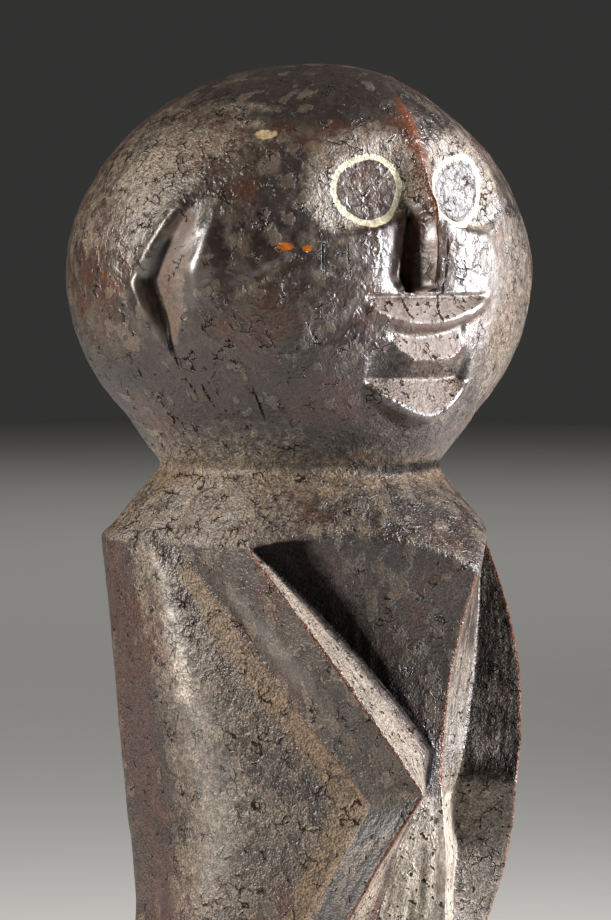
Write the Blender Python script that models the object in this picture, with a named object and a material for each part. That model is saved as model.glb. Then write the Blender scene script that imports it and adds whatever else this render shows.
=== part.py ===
"""Carved wooden statuette: a standing figure with a large round head, ring eyes, a bar nose, a
keeled chest and two flat arm bands, cut from one piece of wood with its low round base.

Metres, +Z up. The figure faces -Y and its right hand is towards -X. The origin is the centre of
the base's underside. Carving is written in units of the figure's own height: lengths called u
are millimetres on a figure 303.4 mm tall from sole to crown, measured up from the sole (h), to
the figure's right (x) and forward (d) of its axis.
"""

import math

import bpy
import numpy as np

# Coarse grid: columns per stretch on each side, and rows per zone
GRID_COLUMNS = (22, 7, 9, 2, 7, 5, 2, 8)
GRID_ROWS = {"dome": 34, "jaw": 40, "yoke": 5, "shoulder": 4, "arm": 12, "forearm": 10, "hip": 3,
             "seat": 4, "leg": 12}
# Share of the grid's triangles kept as facets, and the angle from which an edge reads as sharp
FACET_SHARE = 0.29
SHARP_ANGLE = math.radians(32.0)
# Half depth of the prism that parts the legs, u
CUTTER_DEPTH = 80.0

# Sizes set by themselves, metres
FIGURE_HEIGHT = 0.3034
BASE_HEIGHT = 0.0166
BASE_RADIUS = 0.045
BASE_FLARE = 0.0012
LEG_GAP = 0.012
U = FIGURE_HEIGHT / 303.4
BASE_FORWARD = 7.0

# Heights over the sole, u
CROWN = 303.4
HEAD_WIDEST = 253.5
NECK = 207.4
SHOULDER = 190.9
BREAST = 184.6
ARMPIT = 176.0
ELBOW = 133.4
ELBOW_REAR = 130.8
FOREARM = 101.1
HAND = 72.3
HIP = 60.0
THIGH = 46.0
CROTCH = 52.0

# Head: half widths and shape, u
HEAD_TURN = math.radians(9.8)
HEAD_FORWARD = 1.0
HEAD_SIDE = 58.0
HEAD_FRONT = 48.0
HEAD_BACK = 50.6
HEAD_UP = CROWN - HEAD_WIDEST
HEAD_DOWN = 51.8
JAW_START = 33.6
NECK_RADIUS = 32.9
FOREHEAD_FULLNESS = 1.0
SKULL_POWER = 1.94

# Powers that round the head's plan and ease its jaw
PLAN_POWER = 2.1
JAW_EASE = 1.1

# Eyes and the flat socket cut round each, u
EYE_X = 13.2
EYE_H = 273.2
EYE_SINK = 2.1
SOCKET_DEPTH = 4.5
SOCKET_TURN = math.radians(13.5)
SOCKET_TILT = math.radians(9.0)
LEDGE_H = 262.9
LEDGE_RISE = 9.5
LEDGE_REACH = 9.0
LEDGE_EDGE = 0.9

# Nose: the bar's crest and half width up its length, as (h, size), and the slot beside it, u
NOSE_TIP = 250.4
NOSE_PEAK = 262.0
NOSE_ROOT = 283.0
NOSE_CREST = ((NOSE_TIP, 7.4), (256.0, 8.6), (NOSE_PEAK, 9.2), (267.0, 7.6), (273.0, 4.2),
              (NOSE_ROOT, 1.7), (294.0, 1.4), (302.0, 0.0))
NOSE_WIDTH = ((NOSE_TIP, 2.7), (265.0, 2.7), (276.0, 5.6), (NOSE_ROOT, 7.0), (296.0, 9.0))
SLOT_WIDTH = ((NOSE_TIP, 3.6), (253.5, 5.8), (259.0, 4.8), (270.0, 3.3))
SLOT_DEPTH = 5.0
CHEEK_HOLLOW = 3.2

# Mouth: three carved edges; lip marks are (across, h, how far it stands out), u
LIP_TOP = 249.0
LIP_LINE = 242.1
LIP_NEAR = (15.3, 4.0)
LIP_FAR = (21.0, 6.2)
LIP_UNDER = 2.6
LIP_EDGE = ((-14.0, 236.5, 0.0), (-11.0, 235.6, 1.0), (-8.0, 233.9, 1.3), (3.0, 233.7, 1.3),
            (7.5, 236.8, 0.8), (9.2, 238.4, 0.2), (14.0, 237.0, 0.0))
MOUTH_H = 229.3
MOUTH_DEPTH = 2.6
CHIN_RIM = 220.0
CHIN_TIP = -3.1
CHIN_SPAN = (17.1, 12.8)
CHIN_CURVE = (1.85, 1.5)
CHIN_JUT = 4.6

# Ear: height marks, then bearings in degrees of its rear wall and of its front edge, u
EAR_TOP = 272.0
EAR_CORNER = 252.5
EAR_FOOT = 235.0
EAR_REAR = ((EAR_FOOT, 70.8), (245.0, 72.8), (EAR_CORNER, 75.2), (260.0, 71.6), (EAR_TOP, 65.0))
EAR_FORE = ((EAR_FOOT, 69.3), (245.0, 65.4), (251.0, 65.0), (258.0, 62.0), (EAR_TOP, 63.1))
EAR_DEPTH = ((EAR_FOOT, 3.2), (250.0, 3.0), (257.0, 2.3), (EAR_TOP, 1.4))
EAR_RIM = 1.5
EAR_RAMP = ((242.0, 1.3), (251.0, 1.9), (257.0, 0.8), (EAR_TOP, 0.4))
TRAGUS = (60.4, 256.0)
TRAGUS_HALF = (6.2, 11.5)
TRAGUS_LEAN = 0.17
TRAGUS_RAISE = 2.2
TRAGUS_FAR = 0.3
EAR_FAR = 0.4
# Bearing the grid's columns are drawn towards beside the ear, and how widely, degrees
EAR_MIDDLE = 71.0
EAR_PULL = 14.0
# Temple crease: height at its ear end, bearings in degrees, rise per degree
CREASE_FOOT = 250.2
CREASE_START = 53.1
CREASE_END = 36.0
CREASE_SLOPE = 0.45
CREASE_DEPTH = 0.9

# Arm bands: points (h, x, d) of the front edge and of the rear edge, u
ARM_FRONT = ((SHOULDER, 40.9, 22.2), (ELBOW, 16.1, 56.0), (FOREARM, 25.9, 39.4), (HAND, 33.1, 25.0))
ARM_REAR = ((SHOULDER, 42.2, -1.0), (ELBOW_REAR, 21.6, 43.9), (FOREARM, 28.2, 29.2), (HAND, 34.4, 13.9))
# How far each line bows outwards (x, d) between its marks: upper arm, then forearm, u
FRONT_BOW = ((2.6, 4.1), (1.6, 0.3))
REAR_BOW = ((2.7, 1.5), (0.8, 0.6))
ARM_RAISE = 2.0
NOTCH_TOP = (SHOULDER, 40.5, 22.5)
NOTCH_FOOT = (142.0, 2.5, 46.0)
NOTCH_LINE = (NOTCH_TOP, NOTCH_FOOT, (ELBOW, 4.0, 45.0), (118.0, 10.4, 41.6),
              (FOREARM, 13.6, 37.6), (HAND, 15.5, 37.6), (HIP, 14.0, 38.2))
NOTCH_BOW = (-3.5, 1.5)
NOTCH_FAR = 5.5
PIT_H = 125.0
PIT_DEPTH = 4.0
BELLY = ((HIP, 39.0), (HAND, 44.0), (FOREARM, 48.0), (118.0, 48.4), (ELBOW, 46.4))
KEEL_SWEEP = 11.9
YOKE_ARCH = 22.0
YOKE_CROWN = 2.8

# Flank's soft ridge, back corner, rear corner and back centre as (h, x, d), u
FLANK_RIDGE = ((SHOULDER, 43.3, -7.4), (161.0, 43.4, 1.0), (130.0, 39.0, 7.0), (FOREARM, 39.8, 2.6),
               (HAND, 39.2, 0.0), (HIP, 36.5, -2.5))
BACK_CORNER = ((SHOULDER, 42.2, -22.3), (130.0, 33.6, -18.0), (FOREARM, 30.6, -17.3), (HIP, 33.0, -17.0))
REAR_CORNER = ((SHOULDER, 36.0, -31.9), (130.0, 30.0, -29.8), (FOREARM, 27.6, -28.6), (HIP, 25.0, -34.0))
BACK_CENTRE = ((SHOULDER, 0.0, -34.8), (130.0, 0.0, -33.0), (FOREARM, 0.0, -31.5), (HIP, 0.0, -31.0))

# Legs: height, centre x, centre d, half width, half depth, u
LEG_RINGS = (
    (THIGH, 19.5, 5.0, 14.5, 22.0),
    (31.0, 18.6, 6.5, 12.4, 18.0),
    (18.0, 17.8, 0.5, 11.4, 16.5),
    (9.0, 17.2, 1.0, 10.0, 15.0),
    (3.5, 18.0, 10.0, 11.6, 27.0),
    (0.0, 18.4, 10.5, 12.4, 28.5),
)
# Where each section corner lies round a leg, degrees from its front, outwards positive
LEG_ANGLES = {"notch": -38.0, "front": 2.0, "rear": 48.0, "foot": 58.0, "swell": 88.0,
              "back": 125.0, "tail": 165.0}

# Zones of the surface, from the top
HEAD, YOKE, TRUNK, LEGS, BASE = range(5)
# Rows of the dome crowd towards the face
DOME_EASE = 0.2

CORNERS = ("keel", "notch", "front", "rear", "foot", "swell", "back", "tail", "centre")
# Bearing of each corner's column on the head, degrees from the face's middle
HEAD_BEARING = (0.0, 38.0, 50.0, 68.0, 72.0, 92.0, 112.0, 126.0, 180.0)


def smooth(value, low, high):
    """0 below low, 1 above high, with an even ease between."""
    t = np.clip((value - low) / (high - low), 0.0, 1.0)
    return t * t * (3.0 - 2.0 * t)


def bump(value, middle, half):
    """A bell of height 1 at the middle that is nearly gone at twice the half width."""
    return np.exp(-((value - middle) / half) ** 2)


def span(h, marks):
    """A size at height h, read between marks (h, size)."""
    marks = sorted(marks)
    return np.interp(h, [mark[0] for mark in marks], [mark[1] for mark in marks])


def along(h, marks, item):
    """One coordinate of a line through marks (h, x, d) at height h."""
    marks = sorted(marks)
    return np.interp(h, [m[0] for m in marks], [m[item] for m in marks])


def bowed(h, marks, bows, item):
    """A line through marks whose upper stretches bow outwards, each by its own amount."""
    place = along(h, marks, item)
    for stretch, bow in enumerate(bows):
        top, low = marks[stretch][0], marks[stretch + 1][0]
        t = np.clip((top - h) / (top - low), 0.0, 1.0)
        place = place + bow[item - 1] * 4.0 * t * (1.0 - t)
    return place


def leg_corner(name, h):
    """A corner of one leg's rounded section at height h."""
    rings = sorted(LEG_RINGS)
    heights = [ring[0] for ring in rings]
    cx, cd, rx, rd = (np.interp(h, heights, [ring[i] for ring in rings]) for i in (1, 2, 3, 4))
    if name in LEG_ANGLES:
        angle = math.radians(LEG_ANGLES[name])
        return cx + rx * math.sin(angle), cd + rd * math.cos(angle)
    middle = cd + rd * (0.25 if name == "keel" else -0.25)
    return 0.0 * h, middle


def trunk_corner(name, h, side):
    """A corner (x, d) of the trunk's half section at height h, u."""
    if name == "keel":
        t = np.clip((BREAST - h) / (BREAST - ELBOW), -0.3, 1.0)
        chest = BELLY[-1][1] + KEEL_SWEEP * (1.0 - t) ** 2
        return 0.0 * h, np.where(h > ELBOW, chest, span(h, BELLY))
    if name == "notch":
        near = np.where(side > 0, 1.0, 0.0)
        wider = NOTCH_FAR * np.interp(h, (PIT_H - 15.0, PIT_H, NOTCH_FOOT[0], SHOULDER),
                                      (0.0, 0.9, 1.0, 0.0))
        x = near * bowed(h, NOTCH_LINE, ((NOTCH_BOW[0], 0.0),), 1)
        x = x + (1.0 - near) * (bowed(h, NOTCH_LINE, ((NOTCH_BOW[1], 0.0),), 1) + wider)
        return x, along(h, NOTCH_LINE, 2) - PIT_DEPTH * (1.0 - near) * bump(h, PIT_H, 9.0)
    if name == "front":
        x, d = bowed(h, ARM_FRONT, FRONT_BOW, 1), bowed(h, ARM_FRONT, FRONT_BOW, 2)
        ended = smooth(-h, -HAND, -HAND + 2.0)
        to_hip = np.clip((HAND - h) / (HAND - HIP), 0.0, 1.0)
        return x - ARM_RAISE * ended - 1.0 * to_hip, d - 0.5 * ended + 3.0 * to_hip
    if name in ("rear", "foot"):
        x, d = bowed(h, ARM_REAR, REAR_BOW, 1), bowed(h, ARM_REAR, REAR_BOW, 2)
        ended = smooth(-h, -HAND, -HAND + 2.0)
        raised = ARM_RAISE * (1.0 - ended)
        to_hip = np.clip((HAND - h) / (HAND - HIP), 0.0, 1.0)
        x, d = x - ARM_RAISE * ended + 2.6 * to_hip, d + 1.0 * to_hip
        if name == "foot":
            return x - raised * 0.94, d - 0.6 - 0.34 * raised
        return x, d
    marks = {"swell": FLANK_RIDGE, "back": BACK_CORNER, "tail": REAR_CORNER,
             "centre": BACK_CENTRE}[name]
    return along(h, marks, 1), along(h, marks, 2)


def corner(name, h, side):
    """A corner (x, d) at any height from the shoulders to the soles."""
    legs = smooth(-h, -HIP, -THIGH)
    tx, td = trunk_corner(name, np.maximum(h, HIP), side)
    lx, ld = leg_corner(name, np.minimum(h, THIGH))
    return tx + (lx - tx) * legs, td + (ld - td) * legs


def section(h, seg, t, side):
    """Plan position (x, d) of each column at height h: straight runs between corners."""
    x = np.zeros_like(h)
    d = np.zeros_like(h)
    for index in range(len(CORNERS) - 1):
        pick = seg == index
        ax, ad = corner(CORNERS[index], h[pick], side[pick])
        bx, bd = corner(CORNERS[index + 1], h[pick], side[pick])
        x[pick] = ax + (bx - ax) * t[pick]
        d[pick] = ad + (bd - ad) * t[pick]
    return x * side, d


def edge_height(seg, t):
    """Height of the yoke's lower edge at each column: arched over each half of the chest."""
    arch = BREAST + (SHOULDER - BREAST) * t + YOKE_ARCH * t * (1.0 - t)
    return np.where(seg == 0, arch, SHOULDER)


def skull_radius(phi, h):
    """Radius of the plain head at bearing phi from the face's middle and height h."""
    front = np.clip(np.cos(phi), 0.0, 1.0) ** 6
    power = SKULL_POWER + FOREHEAD_FULLNESS * front
    reach = np.where(np.cos(phi) > 0, HEAD_FRONT, HEAD_BACK)
    plan = (np.abs(np.sin(phi) / HEAD_SIDE) ** PLAN_POWER
            + np.abs(np.cos(phi) / reach) ** PLAN_POWER) ** (-1.0 / PLAN_POWER)
    up = np.clip((h - HEAD_WIDEST) / HEAD_UP, 0.0, 1.0)
    down = np.clip((HEAD_WIDEST - h) / HEAD_DOWN, 0.0, JAW_START / HEAD_DOWN)
    far = np.where(h > HEAD_WIDEST, up, down)
    share = np.maximum(1.0 - far ** power, 0.0) ** (1.0 / power)
    jaw = np.clip((HEAD_WIDEST - JAW_START - h) / (HEAD_WIDEST - JAW_START - NECK), 0.0, 1.0)
    radius = plan * share
    return radius + (NECK_RADIUS - radius) * jaw ** JAW_EASE


def face(phi, h, radius):
    """Carves the face and the ears into the plain head; returns the new radius."""
    turn = np.abs(phi)
    plain = radius
    x = plain * np.sin(turn)
    front = smooth(np.cos(phi), 0.2, 0.6)
    radius = radius - socket_cut(turn, h, plain, x)
    radius = radius + nose_relief(x, h) * front
    radius = radius + mouth_relief(plain * np.sin(phi), h) * front
    return radius + ear_relief(turn, h, plain, phi > 0)


def eye_forward():
    """How far forward of the head's axis each eye's centre lies, sunk into the plain skull."""
    turn = np.array([math.asin(EYE_X / HEAD_FRONT)])
    return float(skull_radius(turn, np.array([EYE_H]))[0] * math.cos(turn[0]) - EYE_SINK)


def socket_cut(turn, h, radius, x):
    """Depth of the flat cut round each eye, stopped below by a ledge over the cheek."""
    normal_d = math.cos(SOCKET_TURN) * math.cos(SOCKET_TILT)
    normal_x = math.sin(SOCKET_TURN) * math.cos(SOCKET_TILT)
    reach = normal_x * EYE_X + normal_d * eye_forward() + math.sin(SOCKET_TILT) * (EYE_H - h)
    facing = np.maximum(normal_x * np.sin(turn) + normal_d * np.cos(turn), 0.2)
    cut = np.clip(radius - reach / facing, 0.0, SOCKET_DEPTH)
    ledge = LEDGE_H + LEDGE_RISE * np.exp(-x / LEDGE_REACH) + 0.7 * np.clip(x - 22.0, 0.0, 20.0)
    return cut * smooth(h, ledge - LEDGE_EDGE, ledge + LEDGE_EDGE) * (turn < 1.2)


def nose_relief(x, h):
    """The thin bar of the nose, the arris over it, and the channel and hollow beside it."""
    root = smooth(-h, -NOSE_PEAK - 9.0, -NOSE_PEAK - 1.0)
    spread = np.interp(h, (NOSE_TIP, NOSE_PEAK + 7.0), (9.5, 4.0))
    fade = smooth(h, NOSE_TIP - 3.0, NOSE_TIP + 2.0)
    relief = -CHEEK_HOLLOW * bump(x, 0.0, spread) * fade * root
    low = smooth(h, NOSE_TIP - 0.8, NOSE_TIP + 0.4)
    outer, wide, crest = (span(h, marks) for marks in (SLOT_WIDTH, NOSE_WIDTH, NOSE_CREST))
    middle, half = 0.5 * (outer + wide), 0.5 * (outer - wide) + 0.9
    slot = SLOT_DEPTH * np.clip(1.0 - np.abs(x - middle) / half, 0.0, 1.0) ** 0.6
    relief = relief - slot * low * smooth(-h, -NOSE_PEAK - 9.0, -NOSE_PEAK)
    sharp = np.interp(h, (NOSE_PEAK, NOSE_PEAK + 10.0), (0.75, 1.25))
    return relief + crest * np.clip(1.0 - x / wide, 0.0, 1.0) ** sharp * low


def lip_line(across):
    """Height of the upper lip's first edge, and how far out along it each point lies."""
    span = np.where(across > 0, LIP_NEAR[0], LIP_FAR[0])
    rise = np.where(across > 0, LIP_NEAR[1], LIP_FAR[1])
    out = np.abs(across) / span
    return LIP_LINE + rise * out ** 2, out


def chin_rim(across):
    """Height of the lower lip's rim, and how far out along it each point lies."""
    aside = across - CHIN_TIP
    out = np.where(aside > 0, aside / CHIN_SPAN[0], -aside / CHIN_SPAN[1])
    curve = np.where(aside > 0, *CHIN_CURVE)
    return CHIN_RIM + (MOUTH_H - 0.6 - CHIN_RIM) * np.clip(out, 0.0, 1.0) ** curve, out


def mouth_relief(across, h):
    """Three steps, each sloping out downwards to a sharp edge and tucked back under it."""
    line, out = lip_line(across)
    rim, rim_out = chin_rim(across)
    edge, proud = (np.interp(across, [m[0] for m in LIP_EDGE], [m[i] for m in LIP_EDGE]) for i in (1, 2))
    edge = np.minimum(edge, line - LIP_UNDER - 0.4)
    roll = smooth(-out, -1.05, -0.85)
    sides = smooth(-rim_out, -1.05, -0.88)
    flat = smooth(proud, 0.1, 0.5) * np.minimum(roll, sides)
    jut = CHIN_JUT * (1.0 - 0.75 * np.clip(rim_out, 0.0, 1.0) ** 2)
    steps = ((LIP_TOP, -1.9 * roll), (line, 1.5 * roll), (line - LIP_UNDER, -0.9 * flat), (edge, proud),
             (MOUTH_H, -MOUTH_DEPTH * sides), (rim, jut * sides), (rim - 2.8, 0.0 * h))
    relief = np.zeros_like(h)
    for (high, start), (low, end) in zip(steps, steps[1:]):
        share = np.clip((high - h) / np.maximum(high - low, 0.05), 0.0, 1.0)
        relief = np.where((h <= high) & (h > low), start + (end - start) * share, relief)
    return relief


def ear_relief(turn, h, radius, near):
    """Ear: a deep cut with a steep rolled wall behind and a raised boss before it."""
    rear, fore = np.radians(span(h, EAR_REAR)), np.radians(span(h, EAR_FORE))
    level = smooth(h, EAR_FOOT, EAR_FOOT + 9.0) * smooth(-h, -EAR_TOP, -EAR_TOP + 8.0)
    within = np.clip((turn - fore) / np.maximum(rear - fore, 0.01), 0.0, 1.0)
    ramp = np.radians(span(h, EAR_RAMP))
    wall = np.clip(1.0 - (turn - rear) / ramp, 0.0, 1.0)
    relief = -span(h, EAR_DEPTH) * within ** 1.3 * wall * level
    rolled = bump(turn, rear + ramp + 0.012, 0.026) * smooth(h, EAR_FOOT + 3.0, EAR_FOOT + 12.0)
    rolled = rolled * smooth(-h, -EAR_TOP - 2.0, -EAR_TOP + 4.0)
    rolled = rolled * np.where(near, 1.0, EAR_FAR)
    relief = relief + EAR_RIM * rolled * (1.0 - 0.6 * bump(h, EAR_CORNER + 1.5, 1.6))
    # Boss: a rounded diamond, longer than wide, leaning back at its foot
    aside = (turn - math.radians(TRAGUS[0])) * radius + TRAGUS_LEAN * (h - TRAGUS[1])
    far = np.abs(aside) / TRAGUS_HALF[0] + np.abs(h - TRAGUS[1]) / TRAGUS_HALF[1]
    relief = relief + np.where(near, TRAGUS_RAISE, TRAGUS_FAR) * smooth(-far, -1.1, -0.45)
    # Crease running forwards from the boss under the temple
    degrees = np.degrees(turn)
    crease = CREASE_FOOT + CREASE_SLOPE * (CREASE_START - degrees)
    run = smooth(degrees, CREASE_END, CREASE_END + 8.0) * smooth(-degrees, -CREASE_START - 4.0,
                                                                 -CREASE_START + 1.0)
    return relief - CREASE_DEPTH * bump(h, crease, 1.7) * run


def follow_ear(turn, h):
    """Moves the columns beside the ear so that one of them keeps to its rear wall."""
    window = smooth(h, EAR_FOOT - 12.0, EAR_FOOT) * smooth(-h, -EAR_TOP - 12.0, -EAR_TOP)
    near = bump(turn, math.radians(EAR_MIDDLE), math.radians(EAR_PULL))
    return turn + np.radians(span(h, EAR_REAR) - EAR_MIDDLE) * near * window


def head_point(bearing, h):
    """Position (x, d) on the carved head at a bearing from the body's front."""
    phi = np.arctan2(np.sin(bearing - HEAD_TURN), np.cos(bearing - HEAD_TURN))
    radius = face(phi, h, skull_radius(phi, h))
    settle = smooth(h, NECK, NECK + 12.0)
    forward = HEAD_FORWARD * settle
    return radius * np.sin(bearing), radius * np.cos(bearing) + forward


def columns(right_counts, left_counts):
    """Column list round the body from the keel over the right side to the back and home."""
    seg, t, side = [], [], []
    for index, count in enumerate(right_counts):
        for step in range(count):
            seg.append(index)
            t.append(step / count)
            side.append(1.0)
    for index in reversed(range(len(left_counts))):
        count = left_counts[index]
        for step in range(count):
            seg.append(index)
            t.append(1.0 - step / count)
            side.append(-1.0)
    return np.array(seg), np.array(t), np.array(side)


def figure_grid(right_counts, left_counts, rows):
    """Rows of points from the crown to the base's underside: x, d, h and each row's zone."""
    seg, t, side = columns(right_counts, left_counts)
    bearing_marks = np.radians(HEAD_BEARING)
    ease = np.where(seg == 0, t ** 1.25, t)
    turn = bearing_marks[seg] + (bearing_marks[seg + 1] - bearing_marks[seg]) * ease
    edge = edge_height(seg, t)
    bearing = turn * side + HEAD_TURN
    ex, ed = section(edge, seg, t, side)
    edge_bearing = np.arctan2(ex, ed)
    gap = np.arctan2(np.sin(edge_bearing - bearing), np.cos(edge_bearing - bearing))
    neck_bearing = bearing + 0.5 * gap
    grid = []
    for k in range(1, rows["dome"] + 1):
        s = k / rows["dome"]
        h = HEAD_WIDEST + HEAD_UP * math.cos(0.5 * math.pi * (s + DOME_EASE * s * (1.0 - s)))
        x, d = head_point(follow_ear(turn, h) * side + HEAD_TURN, np.full_like(t, h))
        grid.append((x, d, np.full_like(t, h), HEAD))
    for k in range(1, rows["jaw"] + 1):
        h = HEAD_WIDEST + (NECK - HEAD_WIDEST) * k / rows["jaw"]
        shift = smooth(-h, -222.0, -NECK)
        near_ear = follow_ear(turn, h) * side + HEAD_TURN
        x, d = head_point(near_ear + (neck_bearing - bearing) * shift, np.full_like(t, h))
        grid.append((x, d, np.full_like(t, h), HEAD))
    nx, nd, nh, _ = grid[-1]
    for k in range(1, rows["yoke"] + 1):
        s = k / rows["yoke"]
        crown = YOKE_CROWN * s * (1.0 - s)
        x = nx + (ex - nx) * s
        d = nd + (ed - nd) * s
        grid.append((x, d, nh + (edge - nh) * s + crown, YOKE))
    for k in range(1, rows["shoulder"] + 1):
        h = edge + (ARMPIT - edge) * k / rows["shoulder"]
        x, d = section(h, seg, t, side)
        grid.append((x, d, h, TRUNK))
    levels = []
    for top, low, count in ((ARMPIT, ELBOW, rows["arm"]), (ELBOW, ELBOW_REAR, 1),
                            (ELBOW_REAR, HAND, rows["forearm"]), (HAND, HAND - 2.0, 2),
                            (HAND - 2.0, HIP, rows["hip"]), (HIP, THIGH, rows["seat"]),
                            (THIGH, 0.0, rows["leg"])):
        levels += [top + (low - top) * k / count for k in range(1, count + 1)]
    for level in levels:
        h = np.full_like(t, level)
        x, d = section(h, seg, t, side)
        grid.append((x, d, h, TRUNK if level > HIP else LEGS))
    rim_bearing = 2.0 * math.pi * np.arange(len(t)) / len(t)
    radius = BASE_RADIUS / U
    for spread, h in ((-0.8, 0.0), (0.0, -0.8), (BASE_FLARE / U, 0.8 - BASE_HEIGHT / U),
                      (BASE_FLARE / U - 0.8, -BASE_HEIGHT / U)):
        x = (radius + spread) * np.sin(rim_bearing)
        d = (radius + spread) * np.cos(rim_bearing) + BASE_FORWARD
        grid.append((x, d, np.full_like(t, h), BASE))
    x, d, h = (np.array([row[i] for row in grid]) for i in range(3))
    return x, d, h, np.array([row[3] for row in grid])


def to_world(x, d, h):
    """Metres in the part's own frame from carving units."""
    return np.stack([-x, -(d - BASE_FORWARD), h + BASE_HEIGHT / U], axis=-1) * U


def closed_mesh(name, grid, crown, foot):
    """Mesh of the grid, closed by a fan at the crown and a flat fan under the base."""
    rows, cols, _ = grid.shape
    verts = np.concatenate([grid.reshape(-1, 3), [crown, foot]])
    faces = []
    for r in range(rows - 1):
        for c in range(cols):
            n = (c + 1) % cols
            faces.append((r * cols + c, r * cols + n, (r + 1) * cols + n, (r + 1) * cols + c))
    top, bottom = rows * cols, rows * cols + 1
    last = (rows - 1) * cols
    for c in range(cols):
        n = (c + 1) % cols
        faces.append((top, n, c))
        faces.append((bottom, last + c, last + n))
    mesh = bpy.data.meshes.new(name)
    mesh.from_pydata([tuple(v) for v in verts], [], faces)
    mesh.update()
    return mesh


def wood_material():
    """Dark brown, hand worn wood."""
    material = bpy.data.materials.new("worn_dark_wood")
    material.use_nodes = True
    shader = material.node_tree.nodes["Principled BSDF"]
    shader.inputs["Base Color"].default_value = (0.052, 0.036, 0.028, 1.0)
    shader.inputs["Roughness"].default_value = 0.48
    shader.inputs["Metallic"].default_value = 0.0
    return material


def leg_cutter():
    """Arched prism that parts the legs, from just over the soles to the crotch."""
    half = 0.5 * LEG_GAP / U
    outline = [(-half, 0.7), (half, 0.7)]
    for k in range(9):
        angle = math.pi * k / 8
        outline.append((half * math.cos(angle), CROTCH - half + half * math.sin(angle)))
    count = len(outline)
    lift = BASE_HEIGHT / U
    verts = [(x * U, y * U, (h + lift) * U) for y in (-CUTTER_DEPTH, CUTTER_DEPTH) for x, h in outline]
    faces = [tuple(range(count)), tuple(reversed(range(count, 2 * count)))]
    for k in range(count):
        n = (k + 1) % count
        faces.append((n, k, k + count, n + count))
    mesh = bpy.data.meshes.new("leg_gap_cutter")
    mesh.from_pydata(verts, [], faces)
    mesh.update()
    cutter = bpy.data.objects.new("leg_gap_cutter", mesh)
    cutter.hide_render = True
    cutter.display_type = "WIRE"
    bpy.context.scene.collection.objects.link(cutter)
    return cutter


def build():
    for thing in list(bpy.data.objects):
        bpy.data.objects.remove(thing, do_unlink=True)
    x, d, h, _ = figure_grid(GRID_COLUMNS, GRID_COLUMNS, GRID_ROWS)
    crown = to_world(0.0, HEAD_FORWARD, CROWN)
    mesh = closed_mesh("carved_figure", to_world(x, d, h), crown, (0.0, 0.0, 0.0))
    figure = bpy.data.objects.new("carved_figure", mesh)
    bpy.context.scene.collection.objects.link(figure)
    mesh.materials.append(wood_material())
    parting = figure.modifiers.new("leg_gap", "BOOLEAN")
    parting.operation = "DIFFERENCE"
    parting.solver = "EXACT"
    parting.object = leg_cutter()
    facets = figure.modifiers.new("facets", "DECIMATE")
    facets.decimate_type = "COLLAPSE"
    facets.ratio = FACET_SHARE
    mesh.shade_smooth()
    mesh.set_sharp_from_angle(angle=SHARP_ANGLE)


build()
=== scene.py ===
"""Dressed model of a carved wooden statuette: the figure and its low base are one piece of wood.

The carving is worked out by the same rules as the solid: lengths called u are millimetres on a
figure 303.4 mm tall from sole to crown, measured up from the sole (h), to the figure's right (x)
and forward (d) of its axis. A fine grid of points follows the carver's edges, and masks kept on
its points tell the wood material where dust, wear, crust and paint lie, and where shade and
highlight are painted into its colour.
"""

import math

import bpy
import numpy as np
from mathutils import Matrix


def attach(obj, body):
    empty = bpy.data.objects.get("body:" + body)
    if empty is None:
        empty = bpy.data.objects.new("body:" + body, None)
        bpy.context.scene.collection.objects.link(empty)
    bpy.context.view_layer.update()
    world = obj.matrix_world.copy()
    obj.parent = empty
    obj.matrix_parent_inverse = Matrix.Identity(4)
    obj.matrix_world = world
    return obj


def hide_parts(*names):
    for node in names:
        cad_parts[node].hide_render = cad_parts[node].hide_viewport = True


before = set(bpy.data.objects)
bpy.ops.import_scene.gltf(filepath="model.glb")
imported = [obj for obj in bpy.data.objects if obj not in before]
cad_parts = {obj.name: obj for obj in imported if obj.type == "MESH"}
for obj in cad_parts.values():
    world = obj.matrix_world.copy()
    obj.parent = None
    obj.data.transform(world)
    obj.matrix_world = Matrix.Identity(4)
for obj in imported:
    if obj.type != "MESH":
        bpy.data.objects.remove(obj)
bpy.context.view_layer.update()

# Sizes set by themselves, metres
FIGURE_HEIGHT = 0.3034
BASE_HEIGHT = 0.0166
BASE_RADIUS = 0.045
BASE_FLARE = 0.0012
LEG_GAP = 0.012
U = FIGURE_HEIGHT / 303.4
# Base: how far forward of the figure's axis it lies, and the chamfer of its rims, u
BASE_FORWARD = 7.0
BASE_CHAMFER = 0.8

# Heights over the sole, u
CROWN = 303.4
HEAD_WIDEST = 253.5
JAW = 222.0
NECK = 207.4
SHOULDER = 190.9
BREAST = 184.6
ARMPIT = 176.0
ELBOW = 133.4
ELBOW_REAR = 130.8
FOREARM = 101.1
HAND = 72.3
HAND_STEP = 2.0
HIP = 60.0
THIGH = 46.0
CROTCH = 52.0

# Head: half widths and shape, u
HEAD_TURN = math.radians(9.8)
HEAD_FORWARD = 1.0
HEAD_SIDE = 58.0
HEAD_FRONT = 48.0
HEAD_BACK = 50.6
HEAD_UP = CROWN - HEAD_WIDEST
HEAD_DOWN = 51.8
JAW_START = 33.6
NECK_RADIUS = 32.9
FOREHEAD_FULLNESS = 1.0
SKULL_POWER = 1.94

# Powers that round the head's plan and ease its jaw
PLAN_POWER = 2.1
JAW_EASE = 1.1

# Eyes and the flat socket cut round each, u
EYE_X = 13.2
EYE_H = 273.2
EYE_SINK = 2.1
SOCKET_DEPTH = 4.5
SOCKET_TURN = math.radians(13.5)
SOCKET_TILT = math.radians(9.0)
LEDGE_H = 262.9
LEDGE_RISE = 9.5
LEDGE_REACH = 9.0
LEDGE_EDGE = 0.9

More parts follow.
